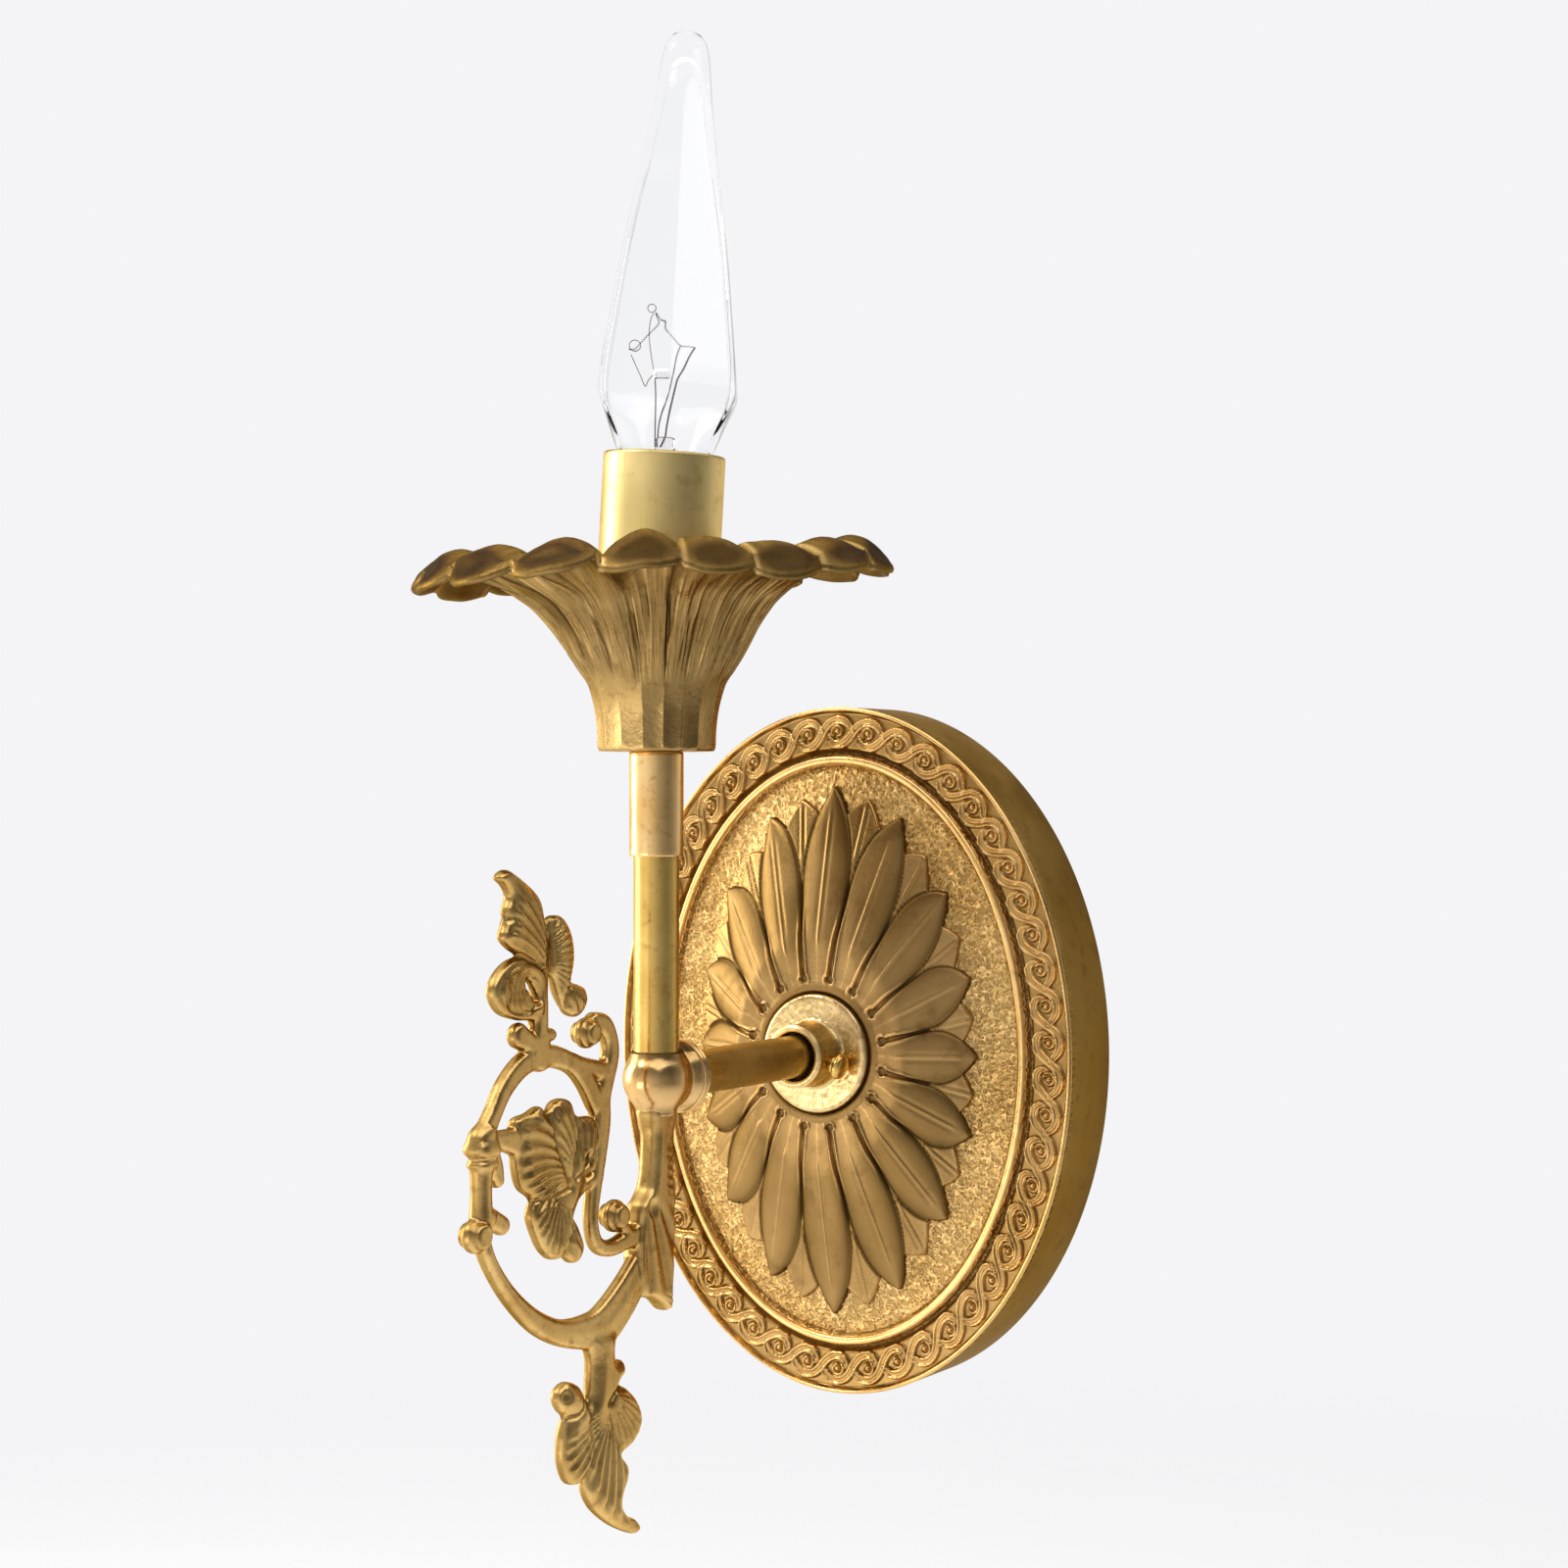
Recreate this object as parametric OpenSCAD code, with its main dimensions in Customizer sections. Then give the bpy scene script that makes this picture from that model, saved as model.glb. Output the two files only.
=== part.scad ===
// Electric wall sconce in brass: oval wall plate, tubular arm, cast scroll bracket, flower cup and candle socket.
// Frame: the wall is the plane y = 0, the sconce stands out along -Y, +Z is up.
// The origin is on the wall, on the axis of the arm.

/* [Arm and stem] */
// Distance of the stem axis from the wall
reach = 96; // [90:1:105]
// Outer diameter of the arm and stem tubes
tube_od = 9.525; // [9.5:0.005:9.6]
// Bore of the tubes and of the threaded nipple
tube_id = 7.2; // [6.6:0.1:7.4]
// Radius of the ball of the hub
hub_r = 6.9; // [6.7:0.1:7.4]
// Height of the coupling sleeve's lower end
sleeve_z = 46.2; // [40:0.2:50]
// Outer diameter of the coupling sleeve
sleeve_od = 11.3; // [11:0.1:13]

/* [Wall plate] */
// Width of the oval plate
plate_w = 119; // [114:1:124]
// Height of the oval plate
plate_h = 158.6; // [150:0.2:166]
// Depth of the plate's rim from the wall
rim_depth = 21; // [19:0.5:23]
// Distance of the plate's boss face from the wall
boss_y = 29.5; // [28:0.5:32]
// Thickness of the plate's casting
plate_t = 2.5; // [2:0.1:3]

/* [Slip ring] */
// Outer diameter of the slip ring's flange
ring_d = 28; // [26:0.5:30]
// Length of the slip ring
ring_l = 11.4; // [9:0.2:12.4]
// Angle of the thumb screw below the horizontal
screw_tilt = 14; // [0:1:30]

/* [Scroll bracket] */
// Thickness of the scrollwork
scroll_t = 3; // [2:0.1:3.2]
// Thickness of the scroll's column under the hub
column_t = 5.4; // [4:0.1:6]

/* [Flower cup] */
// Height of the cup's underside
cup_z = 68; // [66:0.5:70]
// Radius of the cup's rim
cup_r = 50; // [46:0.5:54]

/* [Socket and bulb] */
// Lean of the socket on its nipple, about the wall's normal
lean = 3.7; // [0:0.1:4]
// Outer diameter of the socket cover
cover_od = 25.4; // [25:0.1:26]
// Height of the socket cover's upper edge
cover_top = 129.5; // [128:0.5:130]
// Width of the six-sided bulb across its corners
bulb_w = 32; // [28:0.5:34]
// Height of the bulb's tip
bulb_top = 216.6; // [210:0.2:220]

/* [Crossbar] */
// Distance between the two wall-box screws
box_screws = 69.85; // [69.85, 88.9]
// Thickness of the crossbar strap
strap_t = 1.6; // [1.4:0.1:2]
// Distance of the strap's raised middle from the wall
strap_lift = 12; // [10:0.5:13]

/* [Hidden] */
$fn = 64;
e = 0.01;
tube_r = tube_od / 2;
bore_r = tube_id / 2;
snug = 0.02;
running = 0.05;
arm_back = 8.5;
arm_end = reach - hub_r + 1.4;
stem_low = 2;
sleeve_top = cup_z;
stem_high = (sleeve_z + sleeve_top) / 2 - 0.5;
nipple_top = 88;
nut_af = 14.3;
nut_h = 2.5;
pivot_z = 98;
rim_a = plate_w / 2;
rim_b = plate_h / 2;
floor_t = 2.2;
base_top = 121;
base_low = 102;
base_r = 5.85;
thread_r = base_r + 0.09;
shell_t = 0.35;
socket_r = 10.4;
socket_floor = 98;
cover_foot = 86;
neck_z = 129.5;
girdle_z = 142;
glass_t = 0.9;
press_z = 151;
strap_half = 52;
strap_w = 16;
flat_half = 20;
foot_half = 26;
slot_l = 12;
slot_r = 2.4;
ground_z = -14.5;

brass = [0.72, 0.55, 0.30];
bronze = [0.48, 0.38, 0.22];
rose = [0.74, 0.52, 0.34];
steel = [0.62, 0.62, 0.60];
phenolic = [0.12, 0.10, 0.09];

// Local +Z runs out of the wall and local +Y runs up.
module out_of_wall() {
    rotate([90, 0, 0]) children();
}

// The stem stands on the end of the arm.
module on_stem() {
    translate([0, -reach, 0]) children();
}

// The socket and the bulb lean together about a point in the cup.
module leaned() {
    translate([0, -reach, pivot_z]) rotate([0, lean, 0]) translate([0, 0, -pivot_z]) children();
}

// The scrollwork is drawn with its first coordinate towards the wall and its second up.
module in_scroll_plane(t) {
    on_stem() rotate([90, 0, 90]) linear_extrude(t, center = true) children();
}

module tube(outer, inner, low, high) {
    translate([0, 0, low]) difference() {
        cylinder(r = outer, h = high - low);
        translate([0, 0, -1]) cylinder(r = inner, h = high - low + 2);
    }
}

module hex_nut(af, bore, low, h) {
    translate([0, 0, low]) difference() {
        cylinder(r = af / sqrt(3), h = h, $fn = 6);
        translate([0, 0, -1]) cylinder(r = bore, h = h + 2);
    }
}

function oval(a, b, n = 96) = [for (i = [0 : n - 1]) [a * cos(360 * i / n), b * sin(360 * i / n)]];

module oval_slab(a, b, low, high) {
    translate([0, 0, low]) linear_extrude(high - low) polygon(oval(a, b));
}

// A Catmull-Rom curve through a list of points, as a closed loop or an open run.
function blend4(a, b, c, d, t) =
    0.5 * (2 * b + (c - a) * t + (2 * a - 5 * b + 4 * c - d) * t * t + (3 * b - a - 3 * c + d) * t * t * t);
function loop_curve(p, k = 3) = [
    for (i = [0 : len(p) - 1], j = [0 : k - 1])
        blend4(p[(i + len(p) - 1) % len(p)], p[i], p[(i + 1) % len(p)], p[(i + 2) % len(p)], j / k)
];
function open_curve(p, k = 3) = concat([
    for (i = [0 : len(p) - 2], j = [0 : k - 1])
        blend4(p[max(i - 1, 0)], p[i], p[i + 1], p[min(i + 2, len(p) - 1)], j / k)
], [p[len(p) - 1]]);

function unit(v) = v / norm(v);
function tangent(p, i) = unit(p[min(i + 1, len(p) - 1)] - p[max(i - 1, 0)]);

// A band along points of [x, y, half width], with round ends.
module band(points) {
    p = open_curve(points);
    n = len(p);
    side = [for (i = [0 : n - 1]) let (t = unit([for (c = [0 : 1]) tangent(p, i)[c]])) [-t[1], t[0]]];
    polygon(concat(
        [for (i = [0 : n - 1]) [p[i][0], p[i][1]] + side[i] * p[i][2]],
        [for (i = [n - 1 : -1 : 0]) [p[i][0], p[i][1]] - side[i] * p[i][2]]
    ));
    translate([p[0][0], p[0][1]]) circle(r = p[0][2]);
    translate([p[n - 1][0], p[n - 1][1]]) circle(r = p[n - 1][2]);
}

module leaf(points) {
    polygon(loop_curve(points));
}

// A round wire swept along a list of points.
function ring_of(p, i, r, sides) =
    let (t = tangent(p, i), a = unit(cross(t, abs(t[0]) < 0.9 ? [1, 0, 0] : [0, 1, 0])), b = cross(t, a))
    [for (k = [0 : sides - 1]) p[i] + r * (cos(360 * k / sides) * a + sin(360 * k / sides) * b)];
module wire(p, r, sides = 8) {
    n = len(p);
    polyhedron(
        points = [for (i = [0 : n - 1]) each ring_of(p, i, r, sides)],
        faces = concat(
            [[for (k = [0 : sides - 1]) k]],
            [for (i = [0 : n - 2], k = [0 : sides - 1]) let (m = (k + 1) % sides)
                [i * sides + k, (i + 1) * sides + k, (i + 1) * sides + m, i * sides + m]],
            [[for (k = [sides - 1 : -1 : 0]) (n - 1) * sides + k]]
        )
    );
}

// ---------------------------------------------------------------- wall side

// Half of the strap's side view, from the middle to one end.
strap_line = [
    [0, strap_lift], [flat_half, strap_lift], [foot_half, 0], [strap_half, 0],
    [strap_half, strap_t], [foot_half + 1, strap_t], [flat_half + 1, strap_lift + strap_t], [0, strap_lift + strap_t]
];

module slot(z) {
    translate([0, z, -1]) linear_extrude(strap_t + 2) {
        square([2 * slot_r, slot_l - 2 * slot_r], center = true);
        for (s = [-1, 1]) translate([0, s * (slot_l / 2 - slot_r)]) circle(r = slot_r);
    }
}

module crossbar() {
    color(steel) out_of_wall() difference() {
        for (s = [0, 1]) mirror([0, s, 0])
            rotate([90, 0, 90]) linear_extrude(strap_w, center = true) polygon(strap_line);
        for (s = [-1, 1]) slot(s * box_screws / 2);
        translate([0, 0, strap_lift - 1]) cylinder(r = tube_r + snug, h = strap_t + 2);
        translate([0, ground_z, strap_lift - 1]) cylinder(r = 1.75, h = strap_t + 2);
    }
}

module arm_nuts() {
    color(brass) out_of_wall() {
        hex_nut(nut_af, tube_r + snug, strap_lift - nut_h, nut_h);
        hex_nut(nut_af, tube_r + snug, strap_lift + strap_t + 0.8, nut_h);
    }
}

// A ring with teeth round its rim.
module lock_washer() {
    teeth = 12;
    color(steel) out_of_wall() translate([0, 0, strap_lift + strap_t]) difference() {
        union() {
            cylinder(r = 7, h = 0.8);
            for (i = [0 : teeth - 1]) rotate(360 * i / teeth)
                translate([6.5, -0.7, 0]) cube([1.6, 1.4, 0.8]);
        }
        translate([0, 0, -1]) cylinder(r = tube_r + snug, h = 3);
    }
}

module ground_screw() {
    color([0.16, 0.36, 0.20]) out_of_wall() translate([0, ground_z, strap_lift + strap_t]) {
        difference() {
            translate([0, 0, 1.4]) cylinder(r = 4.6 / cos(30), h = 2.6, $fn = 6);
            translate([-5, -0.5, 3.1]) cube([10, 1, 2]);
        }
        translate([0, 0, -7]) cylinder(r = 1.7, h = 8.4 + e);
    }
}

// The oval plate: a rim, a low dome, a border lip, a bead and a flat boss, hollow behind.
module dome(a, b, low, r, high) {
    hull() {
        oval_slab(a, b, low - 1, low);
        translate([0, 0, high - 0.2]) cylinder(r = r, h = 0.2);
    }
}
module oval_ring(a, b, w, low, high) {
    difference() {
        oval_slab(a, b, low, high);
        oval_slab(a - w, b - w, low - 1, high + 1);
    }
}
module backplate() {
    face = rim_depth - 0.8;
    color(brass) out_of_wall() difference() {
        union() {
            oval_slab(rim_a, rim_b, 0, face);
            oval_ring(rim_a, rim_b, 1.3, face - 1, rim_depth);
            oval_ring(rim_a - 10.8, rim_b - 10.4, 2.8, face - 1, rim_depth + 0.8);
            dome(rim_a - 14, rim_b - 14, face, 16, boss_y);
        }
        oval_slab(rim_a - plate_t, rim_b - plate_t, -1, face - plate_t);
        dome(rim_a - 16, rim_b - 16, face - plate_t + e, 16, boss_y - plate_t);
        cylinder(r = 6.35, h = boss_y + 2);
    }
}

// ---------------------------------------------------------------- arm

module arm_tube() {
    color(brass) out_of_wall() tube(tube_r, bore_r, arm_back, arm_end);
}

module slip_ring() {
    r = ring_d / 2;
    y0 = boss_y;
    y1 = boss_y + ring_l;
    fit_r = tube_r + running;
    color(brass) out_of_wall() difference() {
        rotate_extrude() polygon([
            [fit_r, y0], [r - 0.6, y0], [r, y0 + 0.5], [r, y0 + 1.4], [r - 0.7, y0 + 2], [9, y0 + 2.2],
            [7.7, y0 + 2.8], [7.15, y0 + 3.8], [7.15, y1 - 0.8], [6.4, y1], [5.6, y1], [5.4, y1 - 0.3],
            [5.4, y1 - 2.4], [fit_r, y1 - 2.4]
        ]);
        screw_frame() cylinder(r = 1.5, h = 10);
    }
}

// Local +Z runs out of the collar along the thumb screw.
module screw_frame() {
    translate([0, 0, boss_y + 5.8]) rotate([0, 90, 0]) rotate([screw_tilt, 0, 0]) children();
}
module thumb_screw() {
    color(brass) out_of_wall() screw_frame() rotate_extrude() polygon([
        [0, 5.15], [1.1, 5.15], [1.44, 5.5], [1.44, 7.5], [1.9, 7.9], [2.5, 8.0], [2.9, 8.5],
        [2.9, 9.3], [2.5, 10.0], [1.6, 10.5], [0, 10.7]
    ]);
}

module check_ring() {
    d = reach;
    in_r = tube_r + snug;
    color(rose) out_of_wall() rotate_extrude() polygon([
        [in_r, d - 11], [7.9, d - 11], [8.4, d - 10.6], [8.4, d - 9.6], [7.6, d - 9.1], [7.6, d - 8.7],
        [8.1, d - 8.2], [8.1, d - 7.6], [7.2, d - 7], [in_r, d - 7]
    ]);
}

// The ball hub takes the arm at the back, the stem on top and the scroll's stud below.
module hub() {
    color(rose) difference() {
        union() {
            on_stem() sphere(r = hub_r);
            out_of_wall() translate([0, 0, reach - 7]) cylinder(r = 6.2, h = 5);
            on_stem() translate([0, 0, -6.4]) cylinder(r = 4.2, h = 5);
        }
        on_stem() translate([-20, -20, 4.9]) cube([40, 40, 10]);
        on_stem() translate([0, 0, stem_low]) cylinder(r = tube_r + snug, h = 10);
        on_stem() cylinder(r = bore_r, h = 10);
        out_of_wall() translate([0, 0, reach - 12]) cylinder(r = tube_r + snug, h = 12 - (reach - arm_end));
        out_of_wall() translate([0, 0, reach - 12]) cylinder(r = bore_r, h = 12);
        on_stem() sphere(r = bore_r);
        on_stem() translate([0, 0, -10]) cylinder(r = 2.1, h = 5.2);
    }
}

// ---------------------------------------------------------------- scrollwork
// Each list runs along the casting: bands are [towards the wall, up, half width], leaves are outlines.

upper_c = [
    [-59.5, -6, 2.4], [-56.2, -1.5, 1.9], [-52.5, 3.2, 2.1], [-46.5, 7, 2.3], [-39, 7.9, 2.3],
    [-31.5, 6, 2.1], [-26.5, 2.5, 2.3], [-22.5, -2.5, 2.4]
];
s_curve = [
    [-23, 13.2, 2.2], [-19.6, 12.5, 2.2], [-17.4, 9.4, 2], [-17.2, 6, 2.1], [-18.8, 2.2, 2.3],
    [-20.5, -2, 2.5], [-20.8, -7, 2.7], [-21.6, -13, 2.2], [-23, -20, 1.7], [-23.9, -26, 1.4],
    [-22.3, -30.9, 1.6], [-17.5, -32.7, 1.7], [-11, -31.8, 2], [-6, -31, 2.6]
];
web = [[-30.5, 6.4, 1.2], [-24.5, 4.4, 1.8], [-19, 3.2, 2]];
lower_c = [
    [-60, -22, 1.8], [-58.6, -28, 1.5], [-54.4, -33.8, 1.6], [-49, -39, 1.9], [-42.5, -43.6, 2.3],
    [-35, -46.8, 2.6], [-27, -48.1, 3.4], [-20, -48, 4.6], [-13, -43.8, 4.4], [-7, -38.5, 3.8], [-2, -34, 3.2]
];
pillar = [[-59.8, -7, 2.8], [-59.8, -13, 2.5], [-59.8, -21, 2.3]];
pillar_bump = [[-58, -21.2, 2.2], [-55.8, -22.2, 2], [-53.8, -23.2, 1.9]];
pillar_hook = [[-58, -9, 2.4], [-56.6, -12, 1.9], [-55.6, -14.2, 1.3]];
cap = [[-61, -6.4, 1.5], [-55, -6.8, 1.8], [-48, -8, 3]];
twig = [[-41, 8, 2.2], [-41.2, 14, 1.7], [-41, 22, 1.6], [-41, 29, 1.7]];
twig_bud = [[-47.6, 12.3, 2], [-44.5, 11.6, 1.5], [-41, 10.5, 1.5]];
twig_knob = [[-41, 11, 1.5], [-39.4, 11.8, 1.4], [-38, 12, 1.3]];
tie = [[-30, -20, 1.6], [-26, -18.6, 1.2], [-22.5, -17.6, 1.6]];
volute = [
    [-49, 27.8], [-54, 26], [-57, 22.8], [-57, 20], [-54.5, 17.2], [-50, 15.8], [-45, 15.2], [-41, 15],
    [-40, 20], [-40, 27]
];
eye = [[-46.5, 23.2], [-44.7, 22.3], [-43, 20.2], [-43.3, 18.7], [-45, 20.4], [-46.6, 22]];
top_leaf = [
    [-55.2, 43], [-53, 44.6], [-50, 43.7], [-45, 41], [-42.2, 38.6], [-40.8, 35], [-39.6, 30], [-39.8, 24],
    [-43.5, 25.5], [-49, 28], [-52.5, 29.9], [-53.8, 31.8], [-52.8, 34.3], [-52.6, 37], [-51.6, 39.4], [-53, 41.4]
];
right_lobe = [
    [-39.5, 34], [-36, 35.3], [-33.5, 34], [-31.5, 31], [-30.8, 27], [-31.4, 22.4], [-29, 21.3], [-27, 20.4],
    [-26.3, 18], [-27.5, 16], [-30, 14.9], [-33.5, 16.2], [-36, 19.5], [-37.6, 23], [-40, 25]
];
centre_leaf = [
    [-50, -3.6], [-45.5, -2.6], [-42, -1.6], [-39.6, -3], [-37, -1.2], [-34.5, -0.8], [-32, -1.5], [-30.5, -3.5],
    [-28.5, -5], [-24, -5.6], [-22.5, -10], [-23.5, -15], [-27, -17.5], [-29, -21], [-30.6, -24], [-29.4, -26.5],
    [-27.4, -30.8], [-29, -33.5], [-31.4, -33.6], [-33.6, -32.4], [-38, -32], [-41, -30], [-43.2, -27],
    [-45, -23], [-44.6, -19.6], [-48, -17], [-49.6, -13], [-50, -8]
];
pendant = [
    [-25.6, -49], [-24.6, -55], [-25.4, -61.6], [-27.2, -60.3], [-29.5, -58], [-33, -56.9], [-35.5, -58],
    [-36.2, -60.2], [-35, -62.3], [-33.6, -64], [-34.6, -68], [-34.5, -73], [-32.5, -76.8], [-29.5, -77.8],
    [-27.2, -77.4], [-26.3, -80.5], [-23.8, -84], [-19, -87.6], [-14, -90.3], [-9, -92.2], [-7.3, -91.2],
    [-8.8, -89.3], [-11.8, -87.8], [-13.8, -85.4], [-13.4, -83], [-12, -80.5], [-11.6, -78], [-13.4, -75],
    [-10, -73.4], [-7.4, -71], [-6.9, -68], [-8.8, -64.7], [-12, -62], [-14.6, -60.4], [-12.9, -58.5],
    [-13.6, -56], [-16.5, -54.6], [-17, -49]
];
column = [
    [-3.4, -6.4], [-3.4, -16], [-4.4, -23], [-8, -26], [-8.2, -31], [-9, -36], [-7, -43.6], [-4, -44.6],
    [-0.5, -46.4], [1.8, -48.3], [3.2, -47.3], [3.3, -43], [3.8, -35], [4.2, -22], [4, -12], [3.4, -6.4]
];

module scroll_bracket() {
    color(brass) difference() {
        union() {
            in_scroll_plane(scroll_t) difference() {
                union() {
                    for (b = [upper_c, s_curve, web, lower_c, pillar, pillar_bump, pillar_hook, cap,
                            twig, twig_bud, twig_knob, tie]) band(b);
                    for (o = [volute, top_leaf, right_lobe, centre_leaf, pendant]) leaf(o);
                    translate([-61.8, -24.2]) circle(r = 3);
                    translate([-25.4, 11.4]) circle(r = 3.1);
                    translate([-15.5, -26.4]) circle(r = 3.3);
                    band([[-15.5, -26.4, 1.6], [-12.6, -29, 1.4], [-10.5, -31, 1.4]]);
                }
                leaf(eye);
                translate([-26.8, -13.7]) circle(r = 1.3);
            }
            in_scroll_plane(column_t) intersection() {
                leaf(column);
                translate([-12, -60]) square([24, 60 - 6.4]);
            }
        }
        on_stem() translate([0, 0, -12]) cylinder(r = 1.9, h = 8);
    }
}

module scroll_stud() {
    color(steel) on_stem() translate([0, 0, -11.8]) cylinder(r = 1.88, h = 6.6);
}

// ---------------------------------------------------------------- stem and cup

module stem_tube() {
    color(brass) on_stem() tube(tube_r, bore_r, stem_low, stem_high);
}

module coupling_sleeve() {
    r = sleeve_od / 2;
    in_r = tube_r + snug;
    color(rose) on_stem() rotate_extrude() polygon([
        [in_r, sleeve_z], [r - 0.3, sleeve_z], [r, sleeve_z + 0.4], [r, sleeve_top - 0.4],
        [r - 0.3, sleeve_top], [in_r, sleeve_top]
    ]);
}

module cup_nipple() {
    color(steel) on_stem() tube(tube_r, bore_r, stem_high + 0.5, nipple_top);
}

module candle_cup() {
    k = cup_r / 50;
    z = cup_z;
    color(bronze) on_stem() rotate_extrude() polygon([
        [5.2, z], [11.8, z], [12.1, z + 0.4], [12.3, z + 5.3], [12.9, z + 9.4], [14.2, z + 13.4],
        [16.4, z + 17.5], [21.5 * k, z + 25.6], [25.1 * k, z + 29.7], [29.6 * k, z + 33], [35 * k, z + 36.6],
        [40 * k, z + 38.6], [44 * k, z + 38.2], [47 * k, z + 35.6], [48.6 * k, z + 33.2], [49.4 * k, z + 33],
        [50 * k, z + 33.8], [49 * k, z + 37.2], [45.8 * k, z + 40.3], [40.5 * k, z + 41.2], [34.2 * k, z + 39.4],
        [28 * k, z + 35.8], [23.6 * k, z + 31.8], [19.8 * k, z + 27], [14.7, z + 18.8], [12.4, z + 14.4],
        [11.1, z + 10], [10.4, z + 5.6], [10.1, z + floor_t], [5.2, z + floor_t]
    ]);
}

// Three equal nuts: one holds the cup, two hold the foot of the socket bracket.
module nipple_nuts() {
    color(brass) on_stem() for (z = [cup_z + floor_t, 79.8, 85.4])
        hex_nut(nut_af, tube_r + snug, z, 2.4);
}

// ---------------------------------------------------------------- socket

module socket_bracket() {
    color(steel) difference() {
        leaned() {
            translate([0, 0, 82.8]) cylinder(r = 8.4, h = 1.3);
            translate([0, -3, 82.8]) cube([socket_r + 0.85, 6, 1.3]);
            translate([socket_r + 0.05, -3, 82.8]) cube([0.8, 6, 31]);
            translate([9, 0, 110]) rotate([0, 90, 0]) cylinder(r = 1.2, h = 1.6);
        }
        on_stem() translate([0, 0, 70]) cylinder(r = 5, h = 30);
    }
}

module socket_insulator() {
    r = socket_r;
    color(phenolic) leaned() difference() {
        rotate_extrude() polygon([
            [0, 93.6], [r - 1, 93.6], [r, 94.6], [r, 120.4], [r - 0.8, 121.4], [thread_r + shell_t + snug, 121.4],
            [thread_r + shell_t + snug, socket_floor], [0, socket_floor]
        ]);
        translate([0, 0, 90]) cylinder(r = 1.02, h = 10);
        translate([-4.6, 0, 90]) cylinder(r = 1.02, h = 10);
        translate([8.9, 0, 110]) rotate([0, 90, 0]) cylinder(r = 1.25, h = 3);
    }
}

module socket_screw_shell() {
    r0 = thread_r;
    r1 = thread_r + shell_t;
    color(brass) leaned() difference() {
        union() {
            tube(r1, r0, socket_floor, 121);
            tube(r1 - e, 3.6, socket_floor, socket_floor + 0.4);
        }
        translate([-4.6, 0, 90]) cylinder(r = 1.02, h = 10);
    }
}

module centre_contact() {
    color(brass) leaned() rotate_extrude() polygon([
        [0, 92.2], [2, 92.2], [2, 93.2], [1, 93.5], [1, socket_floor], [2.6, socket_floor],
        [2.4, socket_floor + 0.4], [0, socket_floor + 0.7]
    ]);
}

module shell_rivet() {
    color(brass) leaned() translate([-4.6, 0, 0]) rotate_extrude() polygon([
        [0, 92.2], [1.8, 92.2], [1.8, 93.2], [1, 93.5], [1, 98.5], [1.25, 98.5], [1.1, 98.9], [0, 99]
    ]);
}

module socket_cover() {
    color(brass) leaned() rotate_extrude() difference() {
        translate([cover_od / 2 - 0.9, cover_foot]) square([0.9, cover_top - cover_foot]);
        translate([cover_od / 2 - 0.25, cover_top - 0.15]) rotate(45) square([1, 1]);
    }
}

// ---------------------------------------------------------------- wiring

// The leads run from the socket down the stem, through the hub and out along the arm.
function lead(s) = [
    [s * 1.6 - 1.3, -reach, 91.6], [s * 1.5 - 1, -reach, 89.5], [s * 1.3 - 0.4, -reach, 86], [s * 1.3, -reach, 80],
    [s * 1.3, -reach, 60], [s * 1.3, -reach, 40], [s * 1.3, -reach, 20], [s * 1.3, -reach, 6],
    [s * 1.3, -reach + 0.3, 2.6], [s * 1.3, -reach + 1.6, 0.4], [s * 1.3, -reach + 4.4, -0.6],
    [s * 1.3, -80, -0.6], [s * 1.3, -60, -0.4], [s * 1.3, -40, -0.3], [s * 1.3, -22, 0], [s * 1.3, -12, 0],
    [s * 1.7, -8.6, 0], [s * 3.2, -6, s * 0.2], [s * 6, -4.6, s * 0.8], [s * 10, -4.4, s * 2.4], [s * 15, -5.2, s * 6],
    [s * 19.5, -7, s * 12], [s * 22.5, -9, s * 20], [s * 23, -10.5, s * 30], [s * 20, -11, s * 40],
    [s * 14, -11, s * 48], [s * 6, -11, s * 53], [-s * 3, -11, s * 54.5]
];
module hot_wire() {
    color([0.08, 0.08, 0.08]) wire(open_curve(lead(1), 2), 0.95);
}
module neutral_wire() {
    color([0.9, 0.9, 0.87]) wire(open_curve(lead(-1), 2), 0.95);
}
module ground_wire() {
    y = -(strap_lift + strap_t + 0.7);
    loop_n = 10;
    loop = [for (i = [0 : loop_n]) [2.45 * cos(290 * i / loop_n), y, ground_z + 2.45 * sin(290 * i / loop_n)]];
    tail = [
        [2.6, y, -18.6], [6, y, -21], [10, y + 1, -26], [12, y + 4, -34], [12, y + 6, -42], [9, y + 6, -50], [3, y + 6, -55]
    ];
    color([0.72, 0.42, 0.25]) wire(concat(loop, open_curve(tail, 3)), 0.6);
}

// ---------------------------------------------------------------- bulb

module bulb_tip_contact() {
    color(steel) leaned() rotate_extrude() polygon([[0, 99], [1.6, 99.1], [2.3, 99.6], [2.3, 100.2], [0, 100.2]]);
}

module bulb_base_insulator() {
    color(phenolic) leaned() rotate_extrude() polygon([
        [0, 100.2], [2.6, 100.2], [4.7, base_low], [4.7, base_low + 0.8], [0, base_low + 0.8]
    ]);
}

module bulb_base_shell() {
    color(brass) leaned() rotate_extrude() polygon([
        [4.72, base_low], [5.2, base_low], [base_r, base_low + 0.9], [base_r, base_top - 0.6],
        [base_r + 0.05, base_top], [5.5, base_top], [5.5, base_low + 1.4], [4.72, base_low + 0.9]
    ]);
}

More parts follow.
